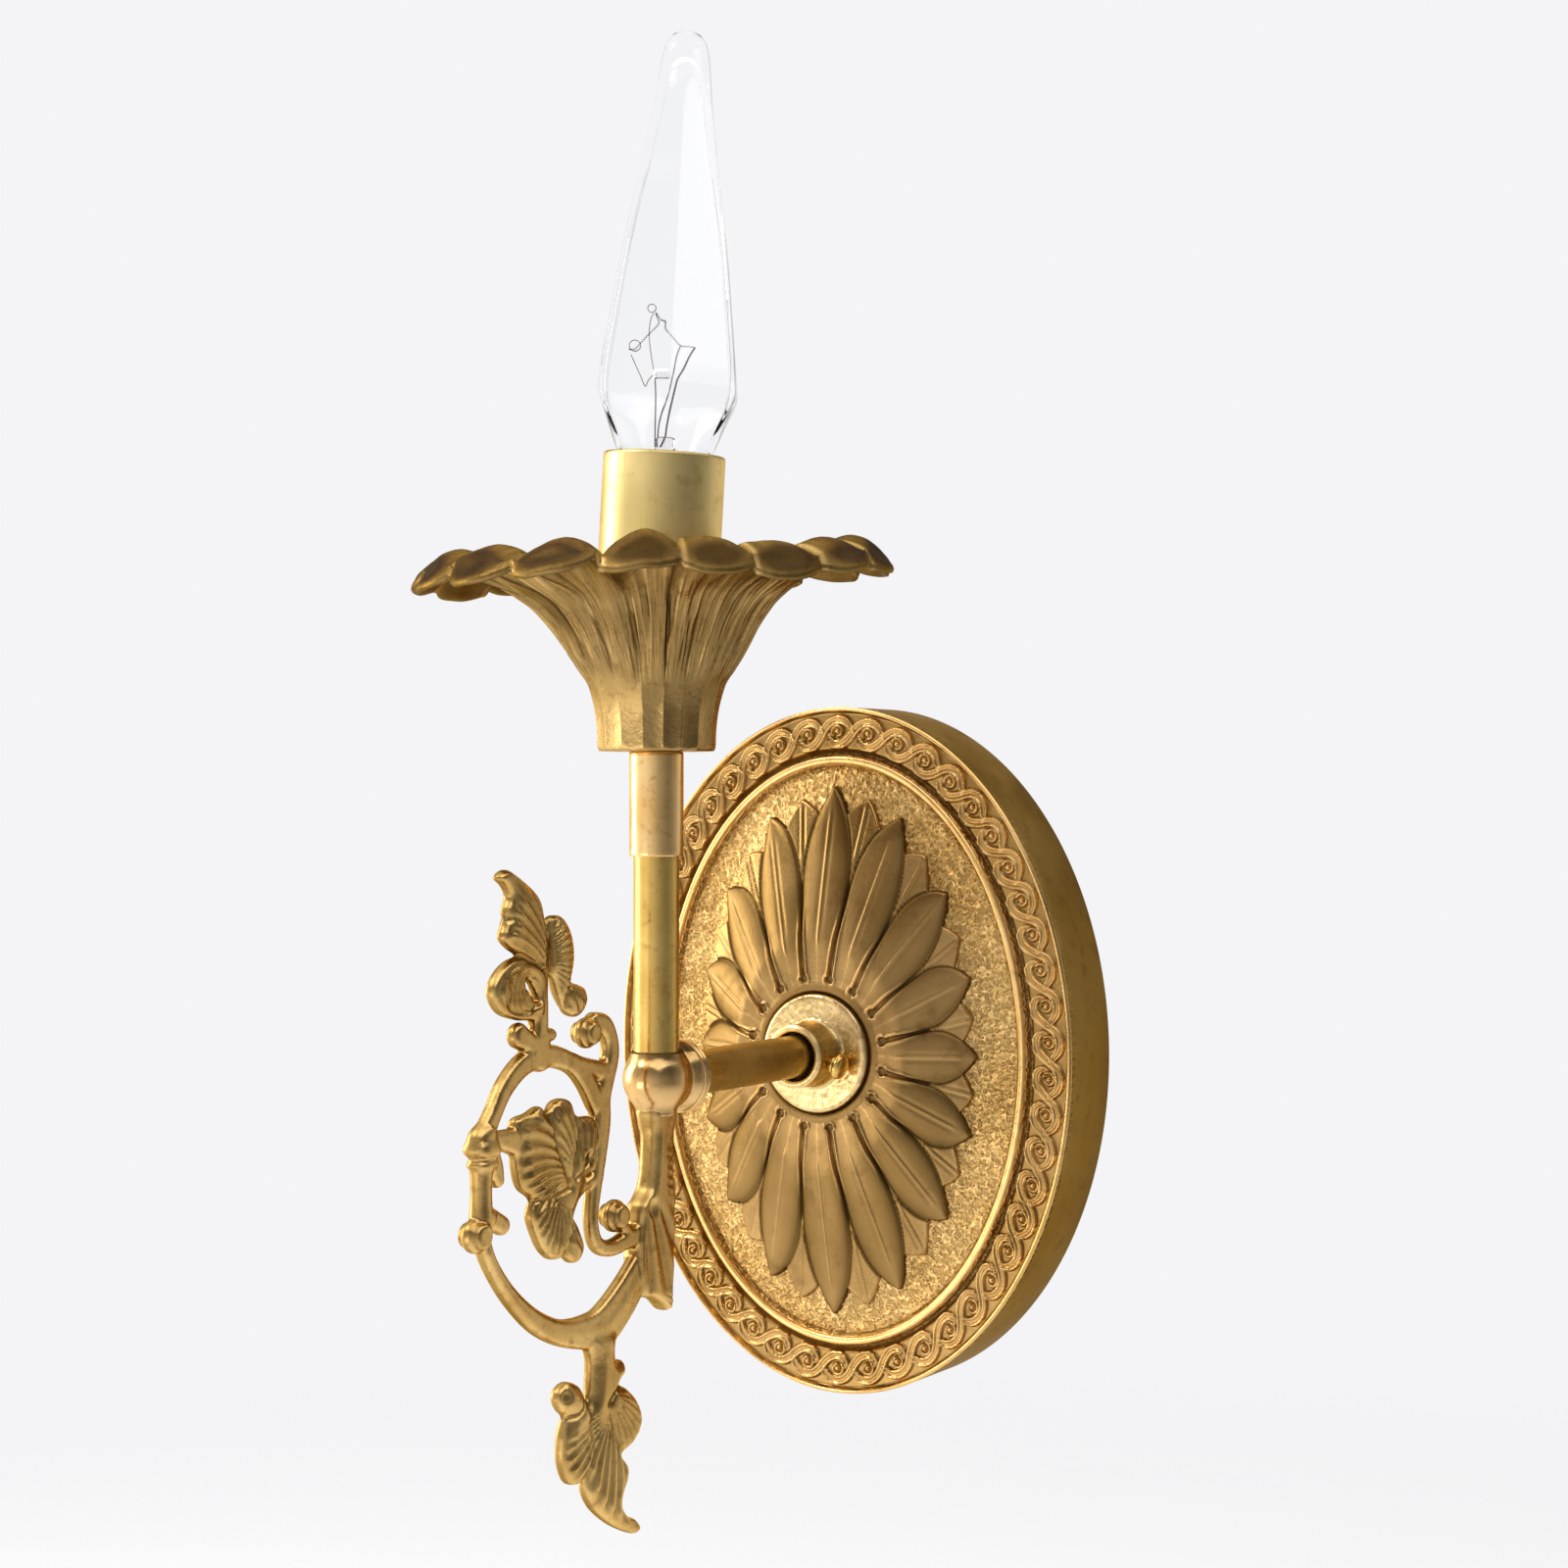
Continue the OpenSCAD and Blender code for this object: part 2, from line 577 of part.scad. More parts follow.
module bulb_solid(inset) {
    w = bulb_w / 2 - inset;
    rotate(1) {
        hull() {
            translate([0, 0, neck_z]) cylinder(r = 9.6 - inset, h = 0.2);
            translate([0, 0, girdle_z]) cylinder(r = w, h = 0.6, $fn = 6);
        }
        hull() {
            translate([0, 0, girdle_z]) cylinder(r = w, h = 0.6, $fn = 6);
            translate([0, 0, bulb_top - 5]) sphere(r = 5 - inset, $fn = 32);
            translate([0, 0, 200]) cylinder(r = 6.8 - inset, h = 0.2, $fn = 6);
        }
    }
}
module bulb_glass() {
    color([0.85, 0.9, 0.92, 0.4]) leaned() difference() {
        union() {
            bulb_solid(0);
            translate([0, 0, 113]) cylinder(r = 5.45, h = 8.1);
            translate([0, 0, base_top + 0.05]) cylinder(r1 = 5.5, r2 = 9.6, h = neck_z - base_top);
        }
        bulb_solid(glass_t);
        translate([0, 0, 114]) cylinder(r = 4.6, h = 8);
        translate([0, 0, base_top - e]) cylinder(r1 = 4.6, r2 = 9.6 - glass_t, h = neck_z - base_top + 0.1);
    }
}

// The glass foot that carries the leads.
module bulb_stem() {
    color([0.85, 0.9, 0.92, 0.4]) leaned() rotate_extrude() polygon([
        [0, 115], [4.3, 115], [4.4, 117], [3.6, 122], [2.8, 127], [2.4, 132.8], [0, 133.2]
    ]);
}

module bulb_leads() {
    color(steel) leaned() {
        wire([[1.4, 0, 133], [2, 0, 136], [4.2, -0.4, 142], [5.6, -0.6, 148], [7.4, -0.4, press_z]], 0.45);
        wire([[-1.4, 0, 133], [-1.8, 0, 138], [-2.2, 0.3, 144], [-3.4, 0.4, press_z]], 0.25);
        wire([[0, 0, 133.3], [0, 0, 138], [0.1, 0, 145]], 0.25);
    }
}

module bulb_filament() {
    color([0.3, 0.3, 0.3]) leaned() wire([
        [7.4, -0.4, press_z + 0.2], [5, -2, press_z + 5], [2.6, 2, press_z + 2], [0.4, 1, press_z + 9],
        [-1.8, -2, press_z + 3], [-3.4, 0.4, press_z + 0.2]
    ], 0.3, 6);
}

crossbar();
arm_nuts();
lock_washer();
ground_screw();
arm_tube();
check_ring();
hub();
scroll_bracket();
scroll_stud();
stem_tube();
coupling_sleeve();
cup_nipple();
candle_cup();
nipple_nuts();
socket_bracket();
socket_insulator();
socket_screw_shell();
centre_contact();
shell_rivet();
socket_cover();
hot_wire();
neutral_wire();
ground_wire();
backplate();
slip_ring();
thumb_screw();
bulb_tip_contact();
bulb_base_insulator();
bulb_base_shell();
bulb_glass();
bulb_stem();
bulb_leads();
bulb_filament();
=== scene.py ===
"""Looks of the brass wall sconce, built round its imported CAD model.

+Z is up, the wall is y = 0 and the sconce stands out towards -Y. Shapes are written in millimetres;
add_mesh turns them into metres. Lamps and the camera are in metres."""

import math

import bpy
import numpy as np
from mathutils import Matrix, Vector


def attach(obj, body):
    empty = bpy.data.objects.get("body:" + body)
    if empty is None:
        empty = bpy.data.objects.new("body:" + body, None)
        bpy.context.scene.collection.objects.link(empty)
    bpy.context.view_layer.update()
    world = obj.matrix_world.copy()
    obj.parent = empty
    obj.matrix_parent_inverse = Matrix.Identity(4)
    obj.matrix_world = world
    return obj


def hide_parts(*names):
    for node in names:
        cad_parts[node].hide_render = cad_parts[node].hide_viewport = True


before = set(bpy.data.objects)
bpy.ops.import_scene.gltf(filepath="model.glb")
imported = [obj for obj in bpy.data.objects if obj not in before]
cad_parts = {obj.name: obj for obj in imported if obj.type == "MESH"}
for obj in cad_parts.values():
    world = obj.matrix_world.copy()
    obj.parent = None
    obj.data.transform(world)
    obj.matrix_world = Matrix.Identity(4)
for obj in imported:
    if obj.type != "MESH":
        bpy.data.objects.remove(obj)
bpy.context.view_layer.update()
MM = 0.001
REACH = 96.0  # stem axis from the wall, mm
TUBE_R, BORE_R = 4.7625, 3.6  # 3/8 inch tube
VIEW = math.radians(30.9)  # the photograph's azimuth: where details seen in it are placed from
rng = np.random.default_rng(7)


# ------------------------------------------------------------------ small maths

def smooth(lo, hi, x):
    """0 below lo, 1 above hi, an S-curve between."""
    t = np.clip((x - lo) / (hi - lo), 0.0, 1.0)
    return t * t * (3.0 - 2.0 * t)


def bump(x, centre, width):
    """A soft ridge of height 1."""
    return np.exp(-(((x - centre) / width) ** 2))


def swell(turn):
    """0 at the start of each turn and 1 halfway round it."""
    return 0.5 - 0.5 * np.cos(turn)


def curve(points, per=6, closed=False):
    """Catmull-Rom curve through points of any number of columns, per steps to a span."""
    p = np.asarray(points, float)
    n = len(p)
    spans = n if closed else n - 1
    out = []
    for i in range(spans):
        ids = [(i + k) % n if closed else min(max(i + k, 0), n - 1) for k in (-1, 0, 1, 2)]
        a, b, c, d = p[ids]
        t = (np.arange(per) / per)[:, None]
        square, cube = 2 * a - 5 * b + 4 * c - d, 3 * b - a - 3 * c + d
        out.append(0.5 * (2 * b + (c - a) * t + square * t**2 + cube * t**3))
    if not closed:
        out.append(p[-1:])
    return np.concatenate(out)


def value_noise(p, seed):
    """Smooth noise in -1..1 at points p (n, 3), one cell per unit."""
    cell = np.floor(p).astype(np.int64)
    f = p - cell
    f = f * f * (3 - 2 * f)
    total = np.zeros(len(p))
    for corner in range(8):
        o = np.array([(corner >> k) & 1 for k in range(3)])
        c = cell + o
        h = c[:, 0] * 374761393 + c[:, 1] * 668265263 + c[:, 2] * 1274126177 + seed * 974711
        h = (h ^ (h >> 13)) * 1103515245
        h = (h ^ (h >> 16)) & 0xFFFFFF
        w = np.prod(np.where(o == 1, f, 1 - f), axis=1)
        total += w * (h / 0x7FFFFF - 1.0)
    return total


# ------------------------------------------------------------------ meshes

def add_mesh(name, verts_mm, faces):
    """Makes an object from vertices in millimetres and quads, turned to face outwards."""
    v = np.asarray(verts_mm, float)
    f = np.asarray(faces)
    a, b, c, d = (v[f[:, k]] - v.mean(axis=0) for k in range(4))
    if (np.einsum("ij,ij->i", a, np.cross(b, c)) + np.einsum("ij,ij->i", a, np.cross(c, d))).sum() < 0:
        f = f[:, ::-1]
    mesh = bpy.data.meshes.new(name)
    mesh.from_pydata((v * MM).tolist(), [], f.tolist())
    mesh.validate()
    mesh.polygons.foreach_set("use_smooth", [True] * len(mesh.polygons))
    mesh.update()
    piece = bpy.data.objects.new(name, mesh)
    bpy.context.scene.collection.objects.link(piece)
    return piece


def grid_faces(rows, cols, wrap_rows=True):
    """Quads over rows of points. Each row closes on itself, and the last row joins the first if asked."""
    r = np.arange(rows if wrap_rows else rows - 1)
    r, c = [a.ravel() for a in np.meshgrid(r, np.arange(cols), indexing="ij")]
    r1, c1 = (r + 1) % rows, (c + 1) % cols
    return np.stack([r * cols + c, r1 * cols + c, r1 * cols + c1, r * cols + c1], axis=1)


def finish_piece(piece, body, nodes, material):
    """Ties a piece to its body, the CAD nodes it stands for and its material."""
    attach(piece, body)
    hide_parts(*nodes)
    piece.data.materials.clear()
    piece.data.materials.append(material)


def set_tone(piece, tone):
    """Stores the tone per vertex, a guessed patina with painted shade and painted highlights in it: 0 dark
    and dull in recesses, 1 rubbed bright.
    """
    attribute = piece.data.attributes.new("tone", "FLOAT", "POINT")
    attribute.data.foreach_set("value", np.clip(tone, 0, 1).astype(np.float32))


def surface_nets(field, origin, step):
    """Closed surface of field = 0 (negative inside) on a regular grid, as vertices and quads."""
    inside = field < 0
    nx, ny, nz = field.shape
    corners = [(i, j, k) for i in (0, 1) for j in (0, 1) for k in (0, 1)]
    total = np.zeros((nx - 1, ny - 1, nz - 1, 3))
    count = np.zeros((nx - 1, ny - 1, nz - 1))

    def part(a, o):
        return a[o[0]:nx - 1 + o[0], o[1]:ny - 1 + o[1], o[2]:nz - 1 + o[2]]

    for a in corners:
        for axis in range(3):
            if a[axis]:
                continue
            b = list(a)
            b[axis] = 1
            fa, fb = part(field, a), part(field, b)
            crosses = part(inside, a) != part(inside, b)
            t = np.where(crosses, fa / np.where(fa == fb, 1, fa - fb), 0)
            for k in range(3):
                at = a[k] + (t if k == axis else 0)
                total[..., k] += np.where(crosses, at, 0)
            count += crosses
    index = -np.ones(count.shape, dtype=np.int64)
    live = count > 0
    index[live] = np.arange(live.sum())
    cells = np.argwhere(live)
    verts = (cells + total[live] / count[live][:, None]) * step + origin
    quads = []
    for axis in range(3):
        u, v = [(1, 2), (2, 0), (0, 1)][axis]
        lo = [slice(1, -1)] * 3
        lo[axis] = slice(0, -1)
        hi = list(lo)
        hi[axis] = slice(1, None)
        a, b = inside[tuple(lo)], inside[tuple(hi)]
        at = np.argwhere(a != b)
        base = at.copy()
        base[:, u] += 1
        base[:, v] += 1
        eu, ev = np.eye(3, dtype=int)[u], np.eye(3, dtype=int)[v]
        ring = [index[tuple((base - d).T)] for d in (eu + ev, ev, 0 * eu, eu)]
        q = np.stack(ring, axis=1)
        out = a[tuple(at.T)]
        q[~out] = q[~out][:, ::-1]
        quads.append(q)
    quads = np.concatenate(quads)
    return verts, quads[(quads >= 0).all(axis=1)]


# ------------------------------------------------------------------ materials

class Tree:
    """Shorthand for the nodes of one material or world."""

    def __init__(self, owner):
        owner.use_nodes = True
        self.nodes, self.links = owner.node_tree.nodes, owner.node_tree.links

    def put(self, socket, value):
        """Links a socket to another, or sets it to a number or a colour."""
        if isinstance(value, bpy.types.NodeSocket):
            self.links.new(value, socket)
        elif socket.type == "RGBA":
            socket.default_value = (*value, 1)
        else:
            socket.default_value = value

    def node(self, kind, operation=None, **inputs):
        """A new node. Its inputs are named in lower case, with _ for a space."""
        made = self.nodes.new("ShaderNode" + kind)
        if operation:
            made.operation = operation
        for name, value in inputs.items():
            self.put(made.inputs[name.replace("_", " ").title()], value)
        return made

    def sums(self, operation, *values, kind="Math"):
        """The result of a Math or Vector Math node."""
        made = self.node(kind, operation)
        for k, value in enumerate(values):
            self.put(made.inputs[k], value)
        return made.outputs["Value"]

    def noise(self, vector, scale, detail=3.0, rough=0.55):
        made = self.node("TexNoise", vector=vector, scale=scale, detail=detail, roughness=rough)
        return made.outputs["Fac"]

    def ramp(self, value, stops):
        """A colour ramp; stops are (position, (r, g, b)) or (position, grey)."""
        made = self.node("ValToRGB", fac=value)
        elements = made.color_ramp.elements
        while len(elements) < len(stops):
            elements.new(0.5)
        for element, (at, colour) in zip(elements, stops):
            element.position = at
            element.color = (*(colour if isinstance(colour, tuple) else (colour,) * 3), 1)
        return made.outputs["Color"]

    def mix(self, factor, a, b, how="MIX"):
        """Two colours mixed; grey numbers aren't taken, only sockets and (r, g, b)."""
        made = self.node("Mix")
        made.data_type = "RGBA"
        made.blend_type = how
        factor_at, a_at, b_at, result_at = 0, 6, 7, 2  # the colour sockets of a Mix node
        for at, value in ((factor_at, factor), (a_at, a), (b_at, b)):
            self.put(made.inputs[at], value)
        return made.outputs[result_at]

    def remap(self, value, low, high, start=0.0, end=1.0):
        made = self.node("MapRange", value=value, from_min=low, from_max=high, to_min=start, to_max=end)
        return made.outputs["Result"]

    def coords(self, stretch=(1, 1, 1)):
        where = self.node("TexCoord").outputs["Object"]
        return self.node("Mapping", scale=stretch, vector=where).outputs["Vector"]

    def relief(self, height, depth, **normal):
        """The normal of a bumped surface, depth in metres."""
        made = self.node("Bump", strength=1.0, distance=depth, height=height, **normal)
        return made.outputs["Normal"]


def principled(name, **inputs):
    """A new material, its tree and its shader, with inputs set as Tree.node sets them."""
    material = bpy.data.materials.new(name)
    tree = Tree(material)
    shader = tree.nodes["Principled BSDF"]
    for key, value in inputs.items():
        tree.put(shader.inputs[key.replace("_", " ").title()], value)
    return material, tree, shader.inputs


# Tone to the colour it multiplies the brass by, and to how metallic the surface is.
TONE_COLOUR = [(0.0, (0.16, 0.14, 0.1)), (0.12, (0.3, 0.27, 0.2)), (0.25, (0.52, 0.5, 0.43)),
               (0.55, (0.86, 0.86, 0.86)), (1.0, (1.18, 1.18, 1.2))]
TONE_METAL = [(0.0, 0.75), (0.4, 1.0)]
TONE_POLISH = -0.22  # change of roughness from a recess to a ridge
EDGE_TINT = (0.95, 0.82, 0.6)  # brass keeps its colour at grazing angles
TONED_EDGE_TINT = (0.95, 0.8, 0.56)
# The pebbled ground: a raised worm where the noise is near its middle, with painted shade between the worms
# and a painted highlight on top; none on the bead.
WORM_SCALE = 640
WORMS = [(0.38, 0.0), (0.46, 0.85), (0.54, 0.85), (0.62, 0.0)]
OFF_THE_BEAD = [(0.8, 1.0), (0.93, 0.0)]
WORM_SHADE_AND_HIGHLIGHT = [(0.0, (0.84, 0.81, 0.73)), (0.8, (1.16, 1.17, 1.18))]


def metal(name, light, dark, stain, rough=(0.25, 0.4), grain=900, patch=45, pit=0.00006,
          stretch=(1, 1, 1), cavity=False, pebble=0.0, speck=0.0):
    """Metal that varies in patches between two colours, stained in spots, with a fine grain.

    With cavity, each vertex's tone darkens recesses and polishes ridges, for patina and for painted shade and
    highlight."""
    material, tree, shader = principled(name)
    where, along = tree.coords(), tree.coords(stretch)
    patches = tree.ramp(tree.noise(where, patch, 4), [(0.36, 0.0), (0.64, 1.0)])
    colour = tree.mix(patches, dark, light)
    spots = tree.ramp(tree.noise(where, patch * 7, 5, 0.65), [(0.54, 0.0), (0.74, 0.8)])
    colour = tree.mix(spots, colour, stain)
    if speck:
        dots = tree.ramp(tree.noise(where, 2200, 3, 0.7), [(0.56, 0.0), (0.68, speck)])
        colour = tree.mix(dots, colour, stain)
    fine = tree.noise(along, grain, 4, 0.6)
    dull = tree.remap(tree.mix(0.5, patches, fine), 0.3, 0.7, *rough)
    normal = tree.relief(fine, pit)
    if cavity:
        attribute = tree.node("Attribute")
        attribute.attribute_name = "tone"
        tone = attribute.outputs["Fac"]
        # The tone darkens the colour for patina and painted shade, and lightens it for painted highlights.
        deep = tree.ramp(tone, TONE_COLOUR)
        colour = tree.mix(1.0, colour, deep, "MULTIPLY")
        tree.put(shader["Specular Tint"], tree.mix(1.0, deep, TONED_EDGE_TINT, "MULTIPLY"))
        tree.put(shader["Metallic"], tree.ramp(tone, TONE_METAL))
        dull = tree.sums("MULTIPLY_ADD", tone, TONE_POLISH, dull)
    else:
        tree.put(shader["Specular Tint"], EDGE_TINT)
        tree.put(shader["Metallic"], 1.0)
    if pebble:
        ground = tree.ramp(tone, OFF_THE_BEAD)
        worms = tree.ramp(tree.noise(where, WORM_SCALE, 1.5, 0.5), WORMS)
        worms = tree.mix(1.0, worms, ground, "MULTIPLY")
        # Painted shade between the worms and a painted highlight on their tops.
        colour = tree.mix(ground, colour, tree.ramp(worms, WORM_SHADE_AND_HIGHLIGHT), "MULTIPLY")
        normal = tree.relief(worms, pebble, normal=normal)
    tree.put(shader["Base Color"], colour)
    tree.put(shader["Roughness"], dull)
    tree.put(shader["Normal"], normal)
    return material


def dull(name, base, worn, rough, coat=0.0, grain=500):
    """A coloured non-metal with faint mottling and a fine surface."""
    material, tree, shader = principled(name, coat_weight=coat)
    where = tree.coords()
    patches = tree.ramp(tree.noise(where, 70, 5), [(0.35, 0.0), (0.7, 1.0)])
    tree.put(shader["Base Color"], tree.mix(patches, base, worn))
    fine = tree.noise(where, grain, 4)
    tree.put(shader["Roughness"], tree.remap(fine, 0.0, 1.0, rough - 0.08, rough + 0.08))
    tree.put(shader["Normal"], tree.relief(fine, 0.00008))
    return material


def glass(name, tint, rough, wobble, ior, outline):
    """Clear soda glass with faint seams and a trace of unevenness, with a painted grey outline where it is
    seen edge-on.
    """
    material, tree, shader = principled(name, transmission_weight=1.0)
    tree.put(shader["IOR"], ior)
    edge_on = tree.node("LayerWeight", blend=0.5).outputs["Facing"]
    grey = tuple(outline * channel for channel in tint)
    # Painted shade: the glass is tinted grey where it is seen edge-on.
    tree.put(shader["Base Color"], tree.ramp(edge_on, [(0.0, tint), (0.76, tint), (0.96, grey)]))
    where = tree.coords((1, 1, 0.25))
    tree.put(shader["Roughness"], tree.ramp(tree.noise(where, 160, 5), [(0.5, 0.0), (0.8, rough)]))
    tree.put(shader["Normal"], tree.relief(tree.noise(where, 90, 3), wobble))
    return material


def srgb(r, g, b):
    """0-255 screen values to scene-linear."""
    return tuple(((c / 255 + 0.055) / 1.055) ** 2.4 if c > 10 else c / 255 / 12.92 for c in (r, g, b))


# ------------------------------------------------------------------ wall plate

HALF_W, HALF_H = 59.5, 79.3
FACE = 19.6  # the border's face from the wall
RELIEF = 1.35  # height of the waves
HOLE_R = 6.35
WAVES = 50
PETALS = 16
ROOT_R = 17.7  # where the petals start
TIP_W, TIP_H = 36.5, 61.0  # half width and height of the oval that their tips touch
BOSS, EDGE_OF_DOME = 29.3, 20.3  # height of the dome at its middle and at the petals' tips


def oval_angle(count, a, b):
    """Angles from +Z towards +X that divide an oval's edge evenly."""
    t = np.linspace(0, 2 * np.pi, 20001)
    step = np.hypot(a * np.cos(t), b * np.sin(t))
    length = np.concatenate([[0], np.cumsum((step[1:] + step[:-1]) / 2 * np.diff(t))])
    return np.interp(np.arange(count) / count * length[-1], length, t), length[-1]


def ribbon_distance(x, y, path):
    """Distance to a polyline of [x, y, half width], and that width at the nearest point."""
    best = np.full(x.shape, 1e9)
    width = np.zeros(x.shape)
    for (ax, ay, aw), (bx, by, bw) in zip(path[:-1], path[1:]):
        dx, dy = bx - ax, by - ay
        t = np.clip(((x - ax) * dx + (y - ay) * dy) / (dx * dx + dy * dy), 0, 1)
        d = np.hypot(x - ax - t * dx, y - ay - t * dy)
        closer = d < best
        best = np.where(closer, d, best)
        width = np.where(closer, aw + t * (bw - aw), width)
    return best, width


# One wave of the border in mm along it and out from its middle, with its half width, and the curl it holds.
WAVE = curve([
    (-10.2, -0.4, 0.25), (-10.25, -1.7, 0.7), (-9.3, -2.8, 0.9), (-7.8, -3.1, 1.0), (-6.2, -2.6, 1.02),
    (-4.7, -1.3, 1.0), (-3.4, 0.5, 0.95), (-2.0, 2.0, 0.92), (0, 2.75, 0.95), (1.9, 2.35, 0.95),
    (3.2, 1.3, 0.8), (3.85, 0.2, 0.45),
], 4)
CURL = np.array([(r * math.sin(a), r * math.cos(a), 0.3)
                 for a, r in zip(np.radians(np.arange(-130, 175, 20)), np.linspace(1.55, 1.05, 16))])


def wave_relief(u, y, pitch):
    """Height of the running-wave border; u counts waves and y runs out from the band's middle."""
    h = np.zeros(u.shape)
    for k in (-1, 0, 1, 2):
        x = (u - np.floor(u) - k) * pitch
        d, w = ribbon_distance(x, y, WAVE)
        w = np.maximum(w, 0.2)
        body = smooth(1.15, 0.86, d / w) * (0.6 + 0.4 * bump(d / w, 0.78, 0.26) - 0.1 * bump(d / w, 0, 0.4))
        h = np.maximum(h, body)
        d, w = ribbon_distance(x, y, CURL)
        h = np.maximum(h, 0.82 * smooth(0.52, 0.05, d))
        h = np.maximum(h, np.sqrt(np.clip(1 - (x * x + y * y) / 0.5, 0, 1)))
    return h


def border_height(d, u, pitch):
    """The border's height d mm in from the plate's edge: a lip, the waves and a step down."""
    h = FACE + 1.5 * smooth(-0.05, 0.3, d + 0.1) * smooth(1.25, 0.8, d)
    band = smooth(1.5, 1.9, d) * smooth(9.9, 9.4, d)
    h = h + band * wave_relief(u, 5.6 - d, pitch) * RELIEF
    return h - 1.5 * smooth(9.4, 10.4, d)


def plate_border(columns=1850):
    """The edge of the plate: wall, lip and running waves, closed behind."""
    t, length = oval_angle(columns, HALF_W - 5.5, HALF_H - 5.5)
    u = np.arange(columns) / columns * WAVES
    pitch = length / WAVES
    face = np.concatenate([[10.9, 10.4, 9.9, 9.6], np.linspace(9.3, 1.75, 32),
                           [1.45, 1.15, 0.95, 0.7, 0.35, 0.1, 0.0]])
    rows = [(d, None) for d in face]
    rows += [(0.0, y) for y in (20.2, 18, 9, 0.4)]
    rows += [(0.2, 0.0), (2.3, 0.0), (2.5, 0.3), (2.7, 15.5), (3.6, 17.0), (10.9, 17.1)]
    verts, tone = [], []
    for d, side in rows:
        if side is None:
            y = border_height(np.full(columns, d), u, pitch)
            level = (y - FACE) / RELIEF
            # The waves' tone: darker in the hollows and bright on the crests, patina with painted shade and
            # painted highlight.
            tone.append(0.34 + 0.14 * np.minimum(level, 0) + 0.85 * np.maximum(level, 0) ** 2.4)
        else:
            y = np.full(columns, float(side))
            # Painted shade: the plate's side wall and its back stay dark, a little lighter at the front edge.
            tone.append(0.22 + 0.06 * smooth(17, 20.2, y))
        verts.append(np.stack([(HALF_W - d) * np.sin(t), -y, (HALF_H - d) * np.cos(t)], axis=1))
    piece = add_mesh("plate_border", np.concatenate(verts), grid_faces(len(rows), columns))
    set_tone(piece, np.concatenate(tone))
    return piece


def spread(phi):
    """Angles round the plate, crowded towards its sides as the petals are."""
    return phi + math.radians(8) * np.sin(2 * phi)


def medallion_point(phi, s):
    """The petal field: s is 0 at the petals' roots and 1 at their tips."""
    t = spread(phi)
    out = np.maximum(s, 0)
    root = (1 - out) * ROOT_R + 25 * np.minimum(s, 0)
    return root * np.sin(phi) + out * TIP_W * np.sin(t), root * np.cos(phi) + out * TIP_H * np.cos(t)


def dome(s):
    return BOSS - (BOSS - EDGE_OF_DOME) * np.clip(s, 0, 1.2) ** 1.12


